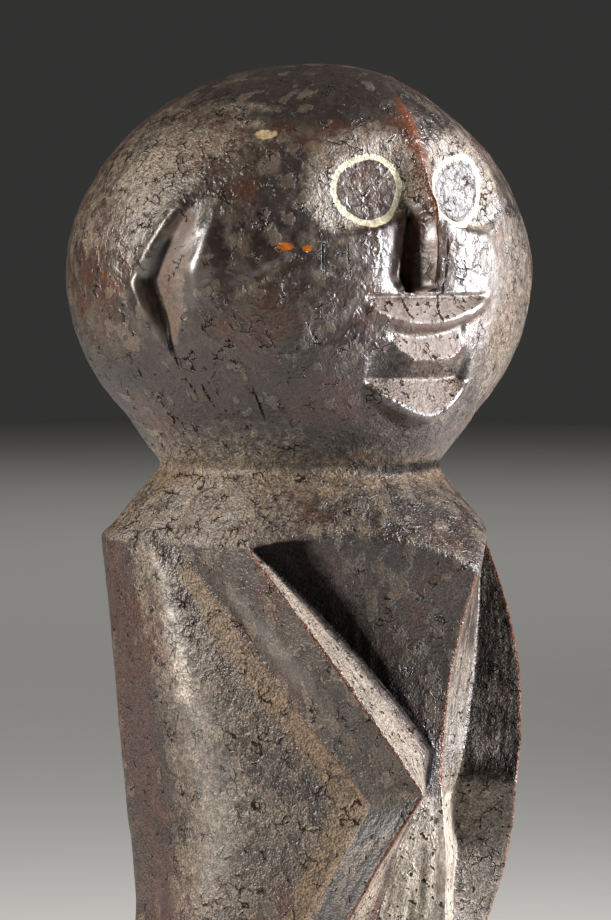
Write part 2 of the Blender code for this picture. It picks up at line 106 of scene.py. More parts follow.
# Nose: the bar's crest and half width up its length, as (h, size), and the slot beside it, u
NOSE_TIP = 250.4
NOSE_PEAK = 262.0
NOSE_ROOT = 283.0
NOSE_CREST = ((NOSE_TIP, 7.4), (256.0, 8.6), (NOSE_PEAK, 9.2), (267.0, 7.6), (273.0, 4.2),
              (NOSE_ROOT, 1.7), (294.0, 1.4), (302.0, 0.0))
NOSE_WIDTH = ((NOSE_TIP, 2.7), (265.0, 2.7), (276.0, 5.6), (NOSE_ROOT, 7.0), (296.0, 9.0))
SLOT_WIDTH = ((NOSE_TIP, 3.6), (253.5, 5.3), (259.0, 4.4), (270.0, 3.1))
SLOT_DEPTH = 5.0
SLOT_TOP = 266.0
WING = 1.0
CHEEK_HOLLOW = 3.2

# Mouth: three carved edges; lip marks are (across, h, how far it stands out), u
LIP_TOP = 249.0
LIP_LINE = 242.1
LIP_NEAR = (15.3, 4.0)
LIP_FAR = (21.0, 6.2)
LIP_UNDER = 2.6
LIP_EDGE = ((-14.0, 236.5, 0.0), (-11.0, 235.6, 1.0), (-8.0, 233.9, 1.3), (3.0, 233.7, 1.3),
            (7.5, 236.8, 0.8), (9.2, 238.4, 0.2), (14.0, 237.0, 0.0))
MOUTH_H = 229.3
MOUTH_DEPTH = 2.6
CHIN_RIM = 220.0
CHIN_TIP = -3.1
CHIN_SPAN = (17.1, 12.8)
CHIN_CURVE = (1.85, 1.5)
CHIN_JUT = 4.6

# Ear: height marks, then bearings in degrees of its rear wall and of its front edge, u
EAR_TOP = 272.0
EAR_CORNER = 252.5
EAR_FOOT = 235.0
EAR_REAR = ((EAR_FOOT, 70.8), (245.0, 72.8), (EAR_CORNER, 75.2), (260.0, 71.6), (EAR_TOP, 65.0))
EAR_FORE = ((EAR_FOOT, 69.3), (245.0, 65.4), (251.0, 65.0), (258.0, 62.0), (EAR_TOP, 63.1))
EAR_DEPTH = ((EAR_FOOT, 3.2), (250.0, 3.0), (257.0, 2.3), (EAR_TOP, 1.4))
EAR_RIM = 1.5
EAR_RAMP = ((242.0, 1.3), (251.0, 1.9), (257.0, 0.8), (EAR_TOP, 0.4))
TRAGUS = (60.4, 256.0)
TRAGUS_HALF = (6.2, 11.5)
TRAGUS_LEAN = 0.17
TRAGUS_RAISE = 2.2
TRAGUS_FAR = 0.3
EAR_FAR = 0.4
# Bearing the grid's columns are drawn towards beside the ear, and how widely, degrees
EAR_MIDDLE = 71.0
EAR_PULL = 14.0
# Temple crease: height at its ear end, bearings in degrees, rise per degree
CREASE_FOOT = 250.2
CREASE_START = 53.1
CREASE_END = 36.0
CREASE_SLOPE = 0.45
CREASE_DEPTH = 0.9

# Arm bands: points (h, x, d) of the front edge and of the rear edge, u
ARM_FRONT = ((SHOULDER, 40.9, 22.2), (ELBOW, 16.1, 56.0), (FOREARM, 25.9, 39.4), (HAND, 33.1, 25.0))
ARM_REAR = ((SHOULDER, 42.2, -1.0), (ELBOW_REAR, 21.6, 43.9), (FOREARM, 28.2, 29.2), (HAND, 34.4, 13.9))
# How far each line bows outwards (x, d) between its marks: upper arm, then forearm, u
FRONT_BOW = ((2.6, 4.1), (1.6, 0.3))
REAR_BOW = ((2.7, 1.5), (0.8, 0.6))
ARM_RAISE = 2.0
NOTCH_TOP = (SHOULDER, 40.5, 22.5)
NOTCH_FOOT = (142.0, 2.5, 46.0)
NOTCH_LINE = (NOTCH_TOP, NOTCH_FOOT, (ELBOW, 4.0, 45.0), (118.0, 10.4, 41.6),
              (FOREARM, 13.6, 37.6), (HAND, 15.5, 37.6), (HIP, 14.0, 38.2))
NOTCH_BOW = (-3.5, 1.5)
NOTCH_FAR = 5.5
PIT_H = 125.0
PIT_DEPTH = 4.0
BELLY = ((HIP, 39.0), (HAND, 44.0), (FOREARM, 48.0), (118.0, 48.4), (ELBOW, 46.4))
KEEL_SWEEP = 11.9
YOKE_ARCH = 22.0
YOKE_CROWN = 2.8

# Flank's soft ridge, back corner, rear corner and back centre as (h, x, d), u
FLANK_RIDGE = ((SHOULDER, 43.3, -7.4), (161.0, 43.4, 1.0), (130.0, 39.0, 7.0), (FOREARM, 39.8, 2.6),
               (HAND, 39.2, 0.0), (HIP, 36.5, -2.5))
BACK_CORNER = ((SHOULDER, 42.2, -22.3), (130.0, 33.6, -18.0), (FOREARM, 30.6, -17.3), (HIP, 33.0, -17.0))
REAR_CORNER = ((SHOULDER, 36.0, -31.9), (130.0, 30.0, -29.8), (FOREARM, 27.6, -28.6), (HIP, 25.0, -34.0))
BACK_CENTRE = ((SHOULDER, 0.0, -34.8), (130.0, 0.0, -33.0), (FOREARM, 0.0, -31.5), (HIP, 0.0, -31.0))

# Legs: height, centre x, centre d, half width, half depth, u
LEG_RINGS = (
    (THIGH, 19.5, 5.0, 14.5, 22.0),
    (31.0, 18.6, 6.5, 12.4, 18.0),
    (18.0, 17.8, 0.5, 11.4, 16.5),
    (9.0, 17.2, 1.0, 10.0, 15.0),
    (3.5, 18.0, 10.0, 11.6, 27.0),
    (0.0, 18.4, 10.5, 12.4, 28.5),
)
# Where each section corner lies round a leg, degrees from its front, outwards positive
LEG_ANGLES = {"notch": -38.0, "front": 2.0, "rear": 48.0, "foot": 58.0, "swell": 88.0,
              "back": 125.0, "tail": 165.0}

# Zones of the surface, from the top
HEAD, YOKE, TRUNK, LEGS, BASE = range(5)
# Rows of the dome crowd towards the face
DOME_EASE = 0.2

CORNERS = ("keel", "notch", "front", "rear", "foot", "swell", "back", "tail", "centre")
# Bearing of each corner's column on the head, degrees from the face's middle
HEAD_BEARING = (0.0, 38.0, 50.0, 68.0, 72.0, 92.0, 112.0, 126.0, 180.0)


def smooth(value, low, high):
    """0 below low, 1 above high, with an even ease between."""
    t = np.clip((value - low) / (high - low), 0.0, 1.0)
    return t * t * (3.0 - 2.0 * t)


def bump(value, middle, half):
    """A bell of height 1 at the middle that is nearly gone at twice the half width."""
    return np.exp(-((value - middle) / half) ** 2)


def span(h, marks):
    """A size at height h, read between marks (h, size)."""
    marks = sorted(marks)
    return np.interp(h, [mark[0] for mark in marks], [mark[1] for mark in marks])


def along(h, marks, item):
    """One coordinate of a line through marks (h, x, d) at height h."""
    marks = sorted(marks)
    return np.interp(h, [m[0] for m in marks], [m[item] for m in marks])


def bowed(h, marks, bows, item):
    """A line through marks whose upper stretches bow outwards, each by its own amount."""
    place = along(h, marks, item)
    for stretch, bow in enumerate(bows):
        top, low = marks[stretch][0], marks[stretch + 1][0]
        t = np.clip((top - h) / (top - low), 0.0, 1.0)
        place = place + bow[item - 1] * 4.0 * t * (1.0 - t)
    return place


def leg_corner(name, h):
    """A corner of one leg's rounded section at height h."""
    rings = sorted(LEG_RINGS)
    heights = [ring[0] for ring in rings]
    cx, cd, rx, rd = (np.interp(h, heights, [ring[i] for ring in rings]) for i in (1, 2, 3, 4))
    if name in LEG_ANGLES:
        angle = math.radians(LEG_ANGLES[name])
        return cx + rx * math.sin(angle), cd + rd * math.cos(angle)
    middle = cd + rd * (0.25 if name == "keel" else -0.25)
    return 0.0 * h, middle


def trunk_corner(name, h, side):
    """A corner (x, d) of the trunk's half section at height h, u."""
    if name == "keel":
        t = np.clip((BREAST - h) / (BREAST - ELBOW), -0.3, 1.0)
        chest = BELLY[-1][1] + KEEL_SWEEP * (1.0 - t) ** 2
        return 0.0 * h, np.where(h > ELBOW, chest, span(h, BELLY))
    if name == "notch":
        near = np.where(side > 0, 1.0, 0.0)
        wider = NOTCH_FAR * np.interp(h, (PIT_H - 15.0, PIT_H, NOTCH_FOOT[0], SHOULDER),
                                      (0.0, 0.9, 1.0, 0.0))
        x = near * bowed(h, NOTCH_LINE, ((NOTCH_BOW[0], 0.0),), 1)
        x = x + (1.0 - near) * (bowed(h, NOTCH_LINE, ((NOTCH_BOW[1], 0.0),), 1) + wider)
        return x, along(h, NOTCH_LINE, 2) - PIT_DEPTH * (1.0 - near) * bump(h, PIT_H, 9.0)
    if name == "front":
        x, d = bowed(h, ARM_FRONT, FRONT_BOW, 1), bowed(h, ARM_FRONT, FRONT_BOW, 2)
        ended = smooth(-h, -HAND, -HAND + HAND_STEP)
        to_hip = np.clip((HAND - h) / (HAND - HIP), 0.0, 1.0)
        return x - ARM_RAISE * ended - 1.0 * to_hip, d - 0.5 * ended + 3.0 * to_hip
    if name in ("rear", "foot"):
        x, d = bowed(h, ARM_REAR, REAR_BOW, 1), bowed(h, ARM_REAR, REAR_BOW, 2)
        ended = smooth(-h, -HAND, -HAND + HAND_STEP)
        raised = ARM_RAISE * (1.0 - ended)
        to_hip = np.clip((HAND - h) / (HAND - HIP), 0.0, 1.0)
        x, d = x - ARM_RAISE * ended + 2.6 * to_hip, d + 1.0 * to_hip
        if name == "foot":
            return x - raised * 0.94, d - 0.6 - 0.34 * raised
        return x, d
    marks = {"swell": FLANK_RIDGE, "back": BACK_CORNER, "tail": REAR_CORNER,
             "centre": BACK_CENTRE}[name]
    return along(h, marks, 1), along(h, marks, 2)


def corner(name, h, side):
    """A corner (x, d) at any height from the shoulders to the soles."""
    legs = smooth(-h, -HIP, -THIGH)
    tx, td = trunk_corner(name, np.maximum(h, HIP), side)
    lx, ld = leg_corner(name, np.minimum(h, THIGH))
    return tx + (lx - tx) * legs, td + (ld - td) * legs


def section(h, seg, t, side):
    """Plan position (x, d) of each column at height h: straight runs between corners."""
    x = np.zeros_like(h)
    d = np.zeros_like(h)
    for index in range(len(CORNERS) - 1):
        pick = seg == index
        ax, ad = corner(CORNERS[index], h[pick], side[pick])
        bx, bd = corner(CORNERS[index + 1], h[pick], side[pick])
        x[pick] = ax + (bx - ax) * t[pick]
        d[pick] = ad + (bd - ad) * t[pick]
    return x * side, d


def edge_height(seg, t):
    """Height of the yoke's lower edge at each column: arched over each half of the chest."""
    arch = BREAST + (SHOULDER - BREAST) * t + YOKE_ARCH * t * (1.0 - t)
    return np.where(seg == 0, arch, SHOULDER)


def skull_radius(phi, h):
    """Radius of the plain head at bearing phi from the face's middle and height h."""
    front = np.clip(np.cos(phi), 0.0, 1.0) ** 6
    power = SKULL_POWER + FOREHEAD_FULLNESS * front
    reach = np.where(np.cos(phi) > 0, HEAD_FRONT, HEAD_BACK)
    plan = (np.abs(np.sin(phi) / HEAD_SIDE) ** PLAN_POWER
            + np.abs(np.cos(phi) / reach) ** PLAN_POWER) ** (-1.0 / PLAN_POWER)
    up = np.clip((h - HEAD_WIDEST) / HEAD_UP, 0.0, 1.0)
    down = np.clip((HEAD_WIDEST - h) / HEAD_DOWN, 0.0, JAW_START / HEAD_DOWN)
    far = np.where(h > HEAD_WIDEST, up, down)
    share = np.maximum(1.0 - far ** power, 0.0) ** (1.0 / power)
    jaw = np.clip((HEAD_WIDEST - JAW_START - h) / (HEAD_WIDEST - JAW_START - NECK), 0.0, 1.0)
    radius = plan * share
    return radius + (NECK_RADIUS - radius) * jaw ** JAW_EASE


def face(phi, h, radius):
    """Carves the face and the ears into the plain head; returns the new radius."""
    turn = np.abs(phi)
    plain = radius
    x = plain * np.sin(turn)
    front = smooth(np.cos(phi), 0.2, 0.6)
    radius = radius - socket_cut(turn, h, plain, x)
    radius = radius + nose_relief(x, h, phi > 0) * front
    radius = radius + mouth_relief(plain * np.sin(phi), h) * front
    return radius + ear_relief(turn, h, plain, phi > 0)


def eye_forward():
    """How far forward of the head's axis each eye's centre lies, sunk into the plain skull."""
    turn = np.array([math.asin(EYE_X / HEAD_FRONT)])
    return float(skull_radius(turn, np.array([EYE_H]))[0] * math.cos(turn[0]) - EYE_SINK)


def socket_cut(turn, h, radius, x):
    """Depth of the flat cut round each eye, stopped below by a ledge over the cheek."""
    normal_d = math.cos(SOCKET_TURN) * math.cos(SOCKET_TILT)
    normal_x = math.sin(SOCKET_TURN) * math.cos(SOCKET_TILT)
    reach = normal_x * EYE_X + normal_d * eye_forward() + math.sin(SOCKET_TILT) * (EYE_H - h)
    facing = np.maximum(normal_x * np.sin(turn) + normal_d * np.cos(turn), 0.2)
    cut = np.clip(radius - reach / facing, 0.0, SOCKET_DEPTH)
    ledge = LEDGE_H + LEDGE_RISE * np.exp(-x / LEDGE_REACH) + 0.7 * np.clip(x - 22.0, 0.0, 20.0)
    return cut * smooth(h, ledge - LEDGE_EDGE, ledge + LEDGE_EDGE) * (turn < 1.2)


def nose_relief(x, h, near):
    """The thin bar of the nose, the arris over it, and the channel and hollow beside it."""
    root = smooth(-h, -NOSE_PEAK - 9.0, -NOSE_PEAK - 1.0)
    spread = np.interp(h, (NOSE_TIP, NOSE_PEAK + 7.0), (9.5, 4.0))
    fade = smooth(h, NOSE_TIP - 3.0, NOSE_TIP + 2.0)
    relief = -CHEEK_HOLLOW * bump(x, 0.0, spread) * fade * root
    low = smooth(h, NOSE_TIP - 0.8, NOSE_TIP + 0.4)
    outer, wide, crest = (span(h, marks) for marks in (SLOT_WIDTH, NOSE_WIDTH, NOSE_CREST))
    middle, half = 0.5 * (outer + wide), 0.5 * (outer - wide) + 0.9
    slot = SLOT_DEPTH * np.clip(1.0 - np.abs(x - middle) / half, 0.0, 1.0) ** 0.6
    relief = relief - slot * low * smooth(-h, -NOSE_PEAK - 9.0, -NOSE_PEAK)
    relief = relief + WING * near * bump(x, outer + 1.7, 1.5) * low * root
    sharp = np.interp(h, (NOSE_PEAK, NOSE_PEAK + 10.0), (0.75, 1.25))
    return relief + crest * np.clip(1.0 - x / wide, 0.0, 1.0) ** sharp * low


def lip_line(across):
    """Height of the upper lip's first edge, and how far out along it each point lies."""
    span = np.where(across > 0, LIP_NEAR[0], LIP_FAR[0])
    rise = np.where(across > 0, LIP_NEAR[1], LIP_FAR[1])
    out = np.abs(across) / span
    return LIP_LINE + rise * out ** 2, out


def chin_rim(across):
    """Height of the lower lip's rim, and how far out along it each point lies."""
    aside = across - CHIN_TIP
    out = np.where(aside > 0, aside / CHIN_SPAN[0], -aside / CHIN_SPAN[1])
    curve = np.where(aside > 0, *CHIN_CURVE)
    return CHIN_RIM + (MOUTH_H - 0.6 - CHIN_RIM) * np.clip(out, 0.0, 1.0) ** curve, out


def mouth_relief(across, h):
    """Three steps, each sloping out downwards to a sharp edge and tucked back under it."""
    line, out = lip_line(across)
    rim, rim_out = chin_rim(across)
    edge, proud = (np.interp(across, [m[0] for m in LIP_EDGE], [m[i] for m in LIP_EDGE])
                   for i in (1, 2))
    edge = np.minimum(edge, line - LIP_UNDER - 0.4)
    roll = smooth(-out, -1.05, -0.85)
    sides = smooth(-rim_out, -1.05, -0.88)
    flat = smooth(proud, 0.1, 0.5) * np.minimum(roll, sides)
    jut = CHIN_JUT * (1.0 - 0.75 * np.clip(rim_out, 0.0, 1.0) ** 2)
    steps = ((LIP_TOP, -1.9 * roll), (line, 1.5 * roll), (line - LIP_UNDER, -0.9 * flat), (edge, proud),
             (MOUTH_H, -MOUTH_DEPTH * sides), (rim, jut * sides), (rim - 2.8, 0.0 * h))
    relief = np.zeros_like(h)
    for (high, start), (low, end) in zip(steps, steps[1:]):
        share = np.clip((high - h) / np.maximum(high - low, 0.05), 0.0, 1.0)
        relief = np.where((h <= high) & (h > low), start + (end - start) * share, relief)
    return relief


def ear_relief(turn, h, radius, near):
    """Ear: a deep cut with a steep rolled wall behind and a raised boss before it."""
    rear, fore = np.radians(span(h, EAR_REAR)), np.radians(span(h, EAR_FORE))
    level = smooth(h, EAR_FOOT, EAR_FOOT + 9.0) * smooth(-h, -EAR_TOP, -EAR_TOP + 8.0)
    within = np.clip((turn - fore) / np.maximum(rear - fore, 0.01), 0.0, 1.0)
    ramp = np.radians(span(h, EAR_RAMP))
    wall = np.clip(1.0 - (turn - rear) / ramp, 0.0, 1.0)
    relief = -span(h, EAR_DEPTH) * within ** 1.3 * wall * level
    rolled = bump(turn, rear + ramp + 0.018, 0.038) * smooth(h, EAR_FOOT + 3.0, EAR_FOOT + 12.0)
    rolled = rolled * smooth(-h, -EAR_TOP - 2.0, -EAR_TOP + 4.0)
    rolled = rolled * np.where(near, 1.0, EAR_FAR)
    relief = relief + EAR_RIM * rolled * (1.0 - 0.6 * bump(h, EAR_CORNER + 1.5, 1.6))
    # Boss: a rounded diamond, longer than wide, leaning back at its foot
    aside = (turn - math.radians(TRAGUS[0])) * radius + TRAGUS_LEAN * (h - TRAGUS[1])
    far = np.abs(aside) / TRAGUS_HALF[0] + np.abs(h - TRAGUS[1]) / TRAGUS_HALF[1]
    relief = relief + np.where(near, TRAGUS_RAISE, TRAGUS_FAR) * smooth(-far, -1.15, 0.1)
    # Crease running forwards from the boss under the temple
    degrees = np.degrees(turn)
    crease = CREASE_FOOT + CREASE_SLOPE * (CREASE_START - degrees)
    run = smooth(degrees, CREASE_END, CREASE_END + 8.0) * smooth(-degrees, -CREASE_START - 4.0,
                                                                 -CREASE_START + 1.0)
    return relief - CREASE_DEPTH * bump(h, crease, 1.7) * run


def follow_ear(turn, h):
    """Moves the columns beside the ear so that one of them keeps to its rear wall."""
    window = smooth(h, EAR_FOOT - 12.0, EAR_FOOT) * smooth(-h, -EAR_TOP - 12.0, -EAR_TOP)
    near = bump(turn, math.radians(EAR_MIDDLE), math.radians(EAR_PULL))
    return turn + np.radians(span(h, EAR_REAR) - EAR_MIDDLE) * near * window


def head_point(bearing, h):
    """Position (x, d) on the carved head at a bearing from the body's front."""
    phi = np.arctan2(np.sin(bearing - HEAD_TURN), np.cos(bearing - HEAD_TURN))
    radius = face(phi, h, skull_radius(phi, h))
    settle = smooth(h, NECK, NECK + 12.0)
    forward = HEAD_FORWARD * settle
    return radius * np.sin(bearing), radius * np.cos(bearing) + forward


def columns(right_counts, left_counts):
    """Column list round the body from the keel over the right side to the back and home."""
    seg, t, side = [], [], []
    for index, count in enumerate(right_counts):
        for step in range(count):
            seg.append(index)
            t.append(step / count)
            side.append(1.0)
    for index in reversed(range(len(left_counts))):
        count = left_counts[index]
        for step in range(count):
            seg.append(index)
            t.append(1.0 - step / count)
            side.append(-1.0)
    return np.array(seg), np.array(t), np.array(side)


def figure_grid(right_counts, left_counts, rows):
    """Rows of points from the crown to the base's underside: x, d, h and each row's zone."""
    seg, t, side = columns(right_counts, left_counts)
    bearing_marks = np.radians(HEAD_BEARING)
    ease = np.where(seg == 0, t ** 1.25, t)
    turn = bearing_marks[seg] + (bearing_marks[seg + 1] - bearing_marks[seg]) * ease
    edge = edge_height(seg, t)
    bearing = turn * side + HEAD_TURN
    ex, ed = section(edge, seg, t, side)
    edge_bearing = np.arctan2(ex, ed)
    gap = np.arctan2(np.sin(edge_bearing - bearing), np.cos(edge_bearing - bearing))
    neck_bearing = bearing + 0.5 * gap
    grid = []
    for k in range(1, rows["dome"] + 1):
        s = k / rows["dome"]
        h = HEAD_WIDEST + HEAD_UP * math.cos(0.5 * math.pi * (s + DOME_EASE * s * (1.0 - s)))
        x, d = head_point(follow_ear(turn, h) * side + HEAD_TURN, np.full_like(t, h))
        grid.append((x, d, np.full_like(t, h), HEAD))
    for k in range(1, rows["jaw"] + 1):
        h = HEAD_WIDEST + (NECK - HEAD_WIDEST) * k / rows["jaw"]
        shift = smooth(-h, -JAW, -NECK)
        near_ear = follow_ear(turn, h) * side + HEAD_TURN
        x, d = head_point(near_ear + (neck_bearing - bearing) * shift, np.full_like(t, h))
        grid.append((x, d, np.full_like(t, h), HEAD))
    nx, nd, nh, _ = grid[-1]
    for k in range(1, rows["yoke"] + 1):
        s = k / rows["yoke"]
        crown = YOKE_CROWN * s * (1.0 - s)
        x = nx + (ex - nx) * s
        d = nd + (ed - nd) * s
        grid.append((x, d, nh + (edge - nh) * s + crown, YOKE))
    for k in range(1, rows["shoulder"] + 1):
        h = edge + (ARMPIT - edge) * k / rows["shoulder"]
        x, d = section(h, seg, t, side)
        grid.append((x, d, h, TRUNK))
    levels = []
    for top, low, count in ((ARMPIT, ELBOW, rows["arm"]), (ELBOW, ELBOW_REAR, 1),
                            (ELBOW_REAR, HAND, rows["forearm"]), (HAND, HAND - HAND_STEP, 2),
                            (HAND - HAND_STEP, HIP, rows["hip"]), (HIP, THIGH, rows["seat"]),
                            (THIGH, 0.0, rows["leg"])):
        levels += [top + (low - top) * k / count for k in range(1, count + 1)]
    for level in levels:
        h = np.full_like(t, level)
        x, d = section(h, seg, t, side)
        grid.append((x, d, h, TRUNK if level > HIP else LEGS))
    rim_bearing = 2.0 * math.pi * np.arange(len(t)) / len(t)
    radius = BASE_RADIUS / U
    for spread, h in ((-BASE_CHAMFER, 0.0), (0.0, -BASE_CHAMFER),
                      (BASE_FLARE / U, BASE_CHAMFER - BASE_HEIGHT / U),
                      (BASE_FLARE / U - BASE_CHAMFER, -BASE_HEIGHT / U)):
        x = (radius + spread) * np.sin(rim_bearing)
        d = (radius + spread) * np.cos(rim_bearing) + BASE_FORWARD
        grid.append((x, d, np.full_like(t, h), BASE))
    x, d, h = (np.array([row[i] for row in grid]) for i in range(3))
    return x, d, h, np.array([row[3] for row in grid])


def to_world(x, d, h):
    """Metres in the part's own frame from carving units."""
    return np.stack([-x, -(d - BASE_FORWARD), h + BASE_HEIGHT / U], axis=-1) * U


# Fine grid of the dressed figure: columns per stretch on the seen side and on the far side
NEAR_COLUMNS = (58, 20, 26, 4, 16, 12, 5, 14)
FAR_COLUMNS = (58, 18, 12, 3, 8, 7, 4, 12)
FINE_ROWS = {"dome": 88, "jaw": 96, "yoke": 16, "shoulder": 12, "arm": 54, "forearm": 28, "hip": 4,
             "seat": 6, "leg": 20}

# Painted eye rings: half widths across and up, and the lean of the far one, u
RING_NEAR = (8.1, 7.7, 0.0)
RING_FAR = (8.6, 8.0, 0.16)
# Thin skin of smoke and oil: size of its flakes and how far they stand proud, mm
FLAKE_SIZE = 3.2
FLAKE_RISE = 0.11
# How far the band of the arm rounds off towards its rear arris near the shoulder, mm
BAND_ROUNDING = 1.4
# Grain that follows the cuts: mm from one arris to the next, and how far fibres stretch upwards
CUT_WIDTH = 14.0
CUT_STRETCH = 0.16
# Place of the flank's soft ridge, counted in stretches from the keel
RIDGE_PLACE = 5.0
# Depth of a hollow that counts as a deep one, metres
HOLLOW_REACH = 0.00035
# Cutter between the legs: wood left under it, reach to the front and back, u, and its arch
GAP_FOOT = 0.7
CUTTER_REACH = 80.0
ARCH_STEPS = 16
# Old drying cracks on the head: runs of (bearing in degrees from the face's middle, h)
HEAD_CRACKS = (
    ((72.0, 243.5), (70.2, 236.0), (69.2, 230.0), (67.0, 226.0)),
    ((84.5, 236.0), (82.0, 226.0), (79.5, 221.0), (76.0, 217.0)),
    ((65.0, 229.0), (63.0, 222.5)),
    ((50.0, 228.0), (48.0, 219.5)),
    ((-9.4, 262.3), (-9.7, 257.0), (-9.2, 252.0), (-6.4, 247.7), (-4.8, 245.3), (-5.9, 242.5)),
    ((6.4, 248.2), (5.9, 244.9), (4.2, 243.4)),
    ((30.8, 261.0), (30.6, 254.0)),
    ((23.9, 260.8), (23.2, 252.5)),
)
# Line behind the ear where the skin is worn down to the wood, in the same terms
EAR_SCUFF = (((95.2, 265.3), (90.0, 255.7), (86.0, 251.1), (81.8, 249.7)),)
# Spots on the head: mask, bearing in degrees, h, half width and half height
HEAD_SPOTS = (
    ("knot", 40.4, 260.2, 2.0, 0.9),
    ("knot", 34.8, 259.8, 1.2, 0.8),
    ("clay", 48.0, 285.9, 2.6, 1.1),
    ("earth", 90.0, 206.5, 4.0, 2.2),
    ("crust", 55.0, 288.6, 5.0, 0.9),
    ("earth", 44.5, 279.6, 2.0, 2.8),
    ("earth", 47.5, 278.6, 1.2, 2.2),
    ("crust", 79.0, 277.0, 10.0, 9.0),
    ("crust", 66.0, 284.0, 9.0, 4.0),
    ("crust", 57.5, 292.4, 8.0, 1.2),
    ("dark", 37.2, 232.9, 3.5, 6.0),
    ("dark", 67.4, 220.8, 3.5, 5.0),
    ("dark", 26.0, 296.0, 18.0, 7.0),
    ("dark", 40.0, 274.0, 7.0, 8.0),
    ("red", 29.2, 224.7, 11.0, 6.0),
    ("red", 89.5, 219.4, 9.0, 7.0),
    ("red", 92.0, 262.0, 3.0, 6.0),
    ("red", -33.0, 262.0, 2.5, 4.0),
    ("red", 18.0, 243.0, 3.5, 2.5),
)


def lattice_noise(points, size, seed):
    """Smooth noise from -1 to 1 at points (n, 3), with cells of the given size (x, y, z)."""
    lattice = np.random.default_rng(seed).uniform(-1.0, 1.0, (32, 32, 32))
    q = points / np.asarray(size) + 100.0
    cell = np.floor(q).astype(int)
    f = q - cell
    f = f * f * (3.0 - 2.0 * f)
    total = 0.0
    for i in (0, 1):
        for j in (0, 1):
            for k in (0, 1):
                value = lattice[(cell[..., 0] + i) % 32, (cell[..., 1] + j) % 32,
                                (cell[..., 2] + k) % 32]
                weight = ((f[..., 0] if i else 1 - f[..., 0]) * (f[..., 1] if j else 1 - f[..., 1])
                          * (f[..., 2] if k else 1 - f[..., 2]))
                total = total + value * weight
    return total


def layered_noise(points, size, seed, layers=3):
    """Lattice noise with finer layers, each half the size and half as strong."""
    total, reach, strength = 0.0, 0.0, 1.0
    for layer in range(layers):
        total = total + strength * lattice_noise(points, np.asarray(size) / 2 ** layer, seed + layer)
        reach, strength = reach + strength, strength * 0.5
    return total / reach


def grid_normals(points):
    """Outward unit normals of a grid (row, column, xyz) that closes round its columns."""
    down = np.gradient(points, axis=0)
    across = np.roll(points, -1, axis=1) - np.roll(points, 1, axis=1)
    normal = np.cross(across, down)
    length = np.linalg.norm(normal, axis=-1, keepdims=True)
    return normal / np.maximum(length, 1e-12)


def relaxed(points, amount, passes, upwards=0.5):
    """The grid after even smoothing passes, weighted at each point; upwards is the share of
    the smoothing that runs up and down instead of round the figure."""
    for _ in range(passes):
        above = np.concatenate([points[:1], points[:-1]])
        under = np.concatenate([points[1:], points[-1:]])
        beside = np.roll(points, 1, axis=1) + np.roll(points, -1, axis=1)
        mean = 0.5 * upwards * (above + under) + 0.5 * (1.0 - upwards) * beside
        points = points + (mean - points) * amount[..., None]
    return points


def inside(value, low, high, ease):
    """1 between low and high, easing to 0 over a distance outside them."""
    return smooth(value, low - ease, low) * smooth(-value, -high - ease, -high)


def ring_distance(phi, x, d, h, right):
    """Signed distance from the painted ring's own uneven line, u."""
    turn = np.where(right > 0, SOCKET_TURN, -SOCKET_TURN)
    head_x = np.hypot(x, d - HEAD_FORWARD) * np.sin(phi)
    head_d = np.hypot(x, d - HEAD_FORWARD) * np.cos(phi)
    centre_x, centre_d = np.where(right > 0, EYE_X, -EYE_X), eye_forward()
    aside = (head_x - centre_x) * np.cos(turn) - (head_d - centre_d) * np.sin(turn)
    up = h - EYE_H
    half_x, half_h, lean = (np.where(right > 0, a, b) for a, b in zip(RING_NEAR, RING_FAR))
    aside = aside + lean * up
    angle = np.arctan2(up / half_h, aside / half_x)
    uneven = 1.0 + 0.035 * np.cos(2.0 * angle + 0.9) + 0.03 * np.cos(3.0 * angle - 0.6)
    out = np.hypot(aside / half_x, up / half_h)
    return (out - uneven) * 0.5 * (half_x + half_h)


def run_distance(phi, radius, h, runs):
    """Distance from the nearest of some runs of (bearing in degrees, h) on the head, u."""
    nearest = np.full(h.shape, 99.0)
    across = phi * radius
    for run in runs:
        for (turn_a, h_a), (turn_b, h_b) in zip(run, run[1:]):
            ax, bx = math.radians(turn_a) * radius, math.radians(turn_b) * radius
            length = (bx - ax) ** 2 + (h_b - h_a) ** 2
            share = np.clip(((across - ax) * (bx - ax) + (h - h_a) * (h_b - h_a)) / length, 0.0, 1.0)
            gap = np.hypot(across - ax - share * (bx - ax), h - h_a - share * (h_b - h_a))
            nearest = np.minimum(nearest, gap + 0.25 * (2.0 * share - 1.0) ** 2)
    return nearest


def edge_distance(x, d, h, trunk, side):
    """Distance from the nearest worn arris of the trunk, u."""
    nearest = np.full(h.shape, 99.0)
    level = np.clip(h, HIP, SHOULDER)
    rows = np.broadcast_to(side, h.shape)
    for name, low, extra in (("keel", ELBOW, 0.0), ("front", HAND, 0.0), ("rear", HAND, 0.5),
                             ("tail", HIP, 0.7)):
        cx, cd = corner(name, level, rows)
        gap = np.hypot(np.abs(x) - cx, d - cd) + extra + 0.5 * np.clip(low - h, 0.0, 50.0)
        nearest = np.where(trunk > 0, np.minimum(nearest, gap), nearest)
    return nearest


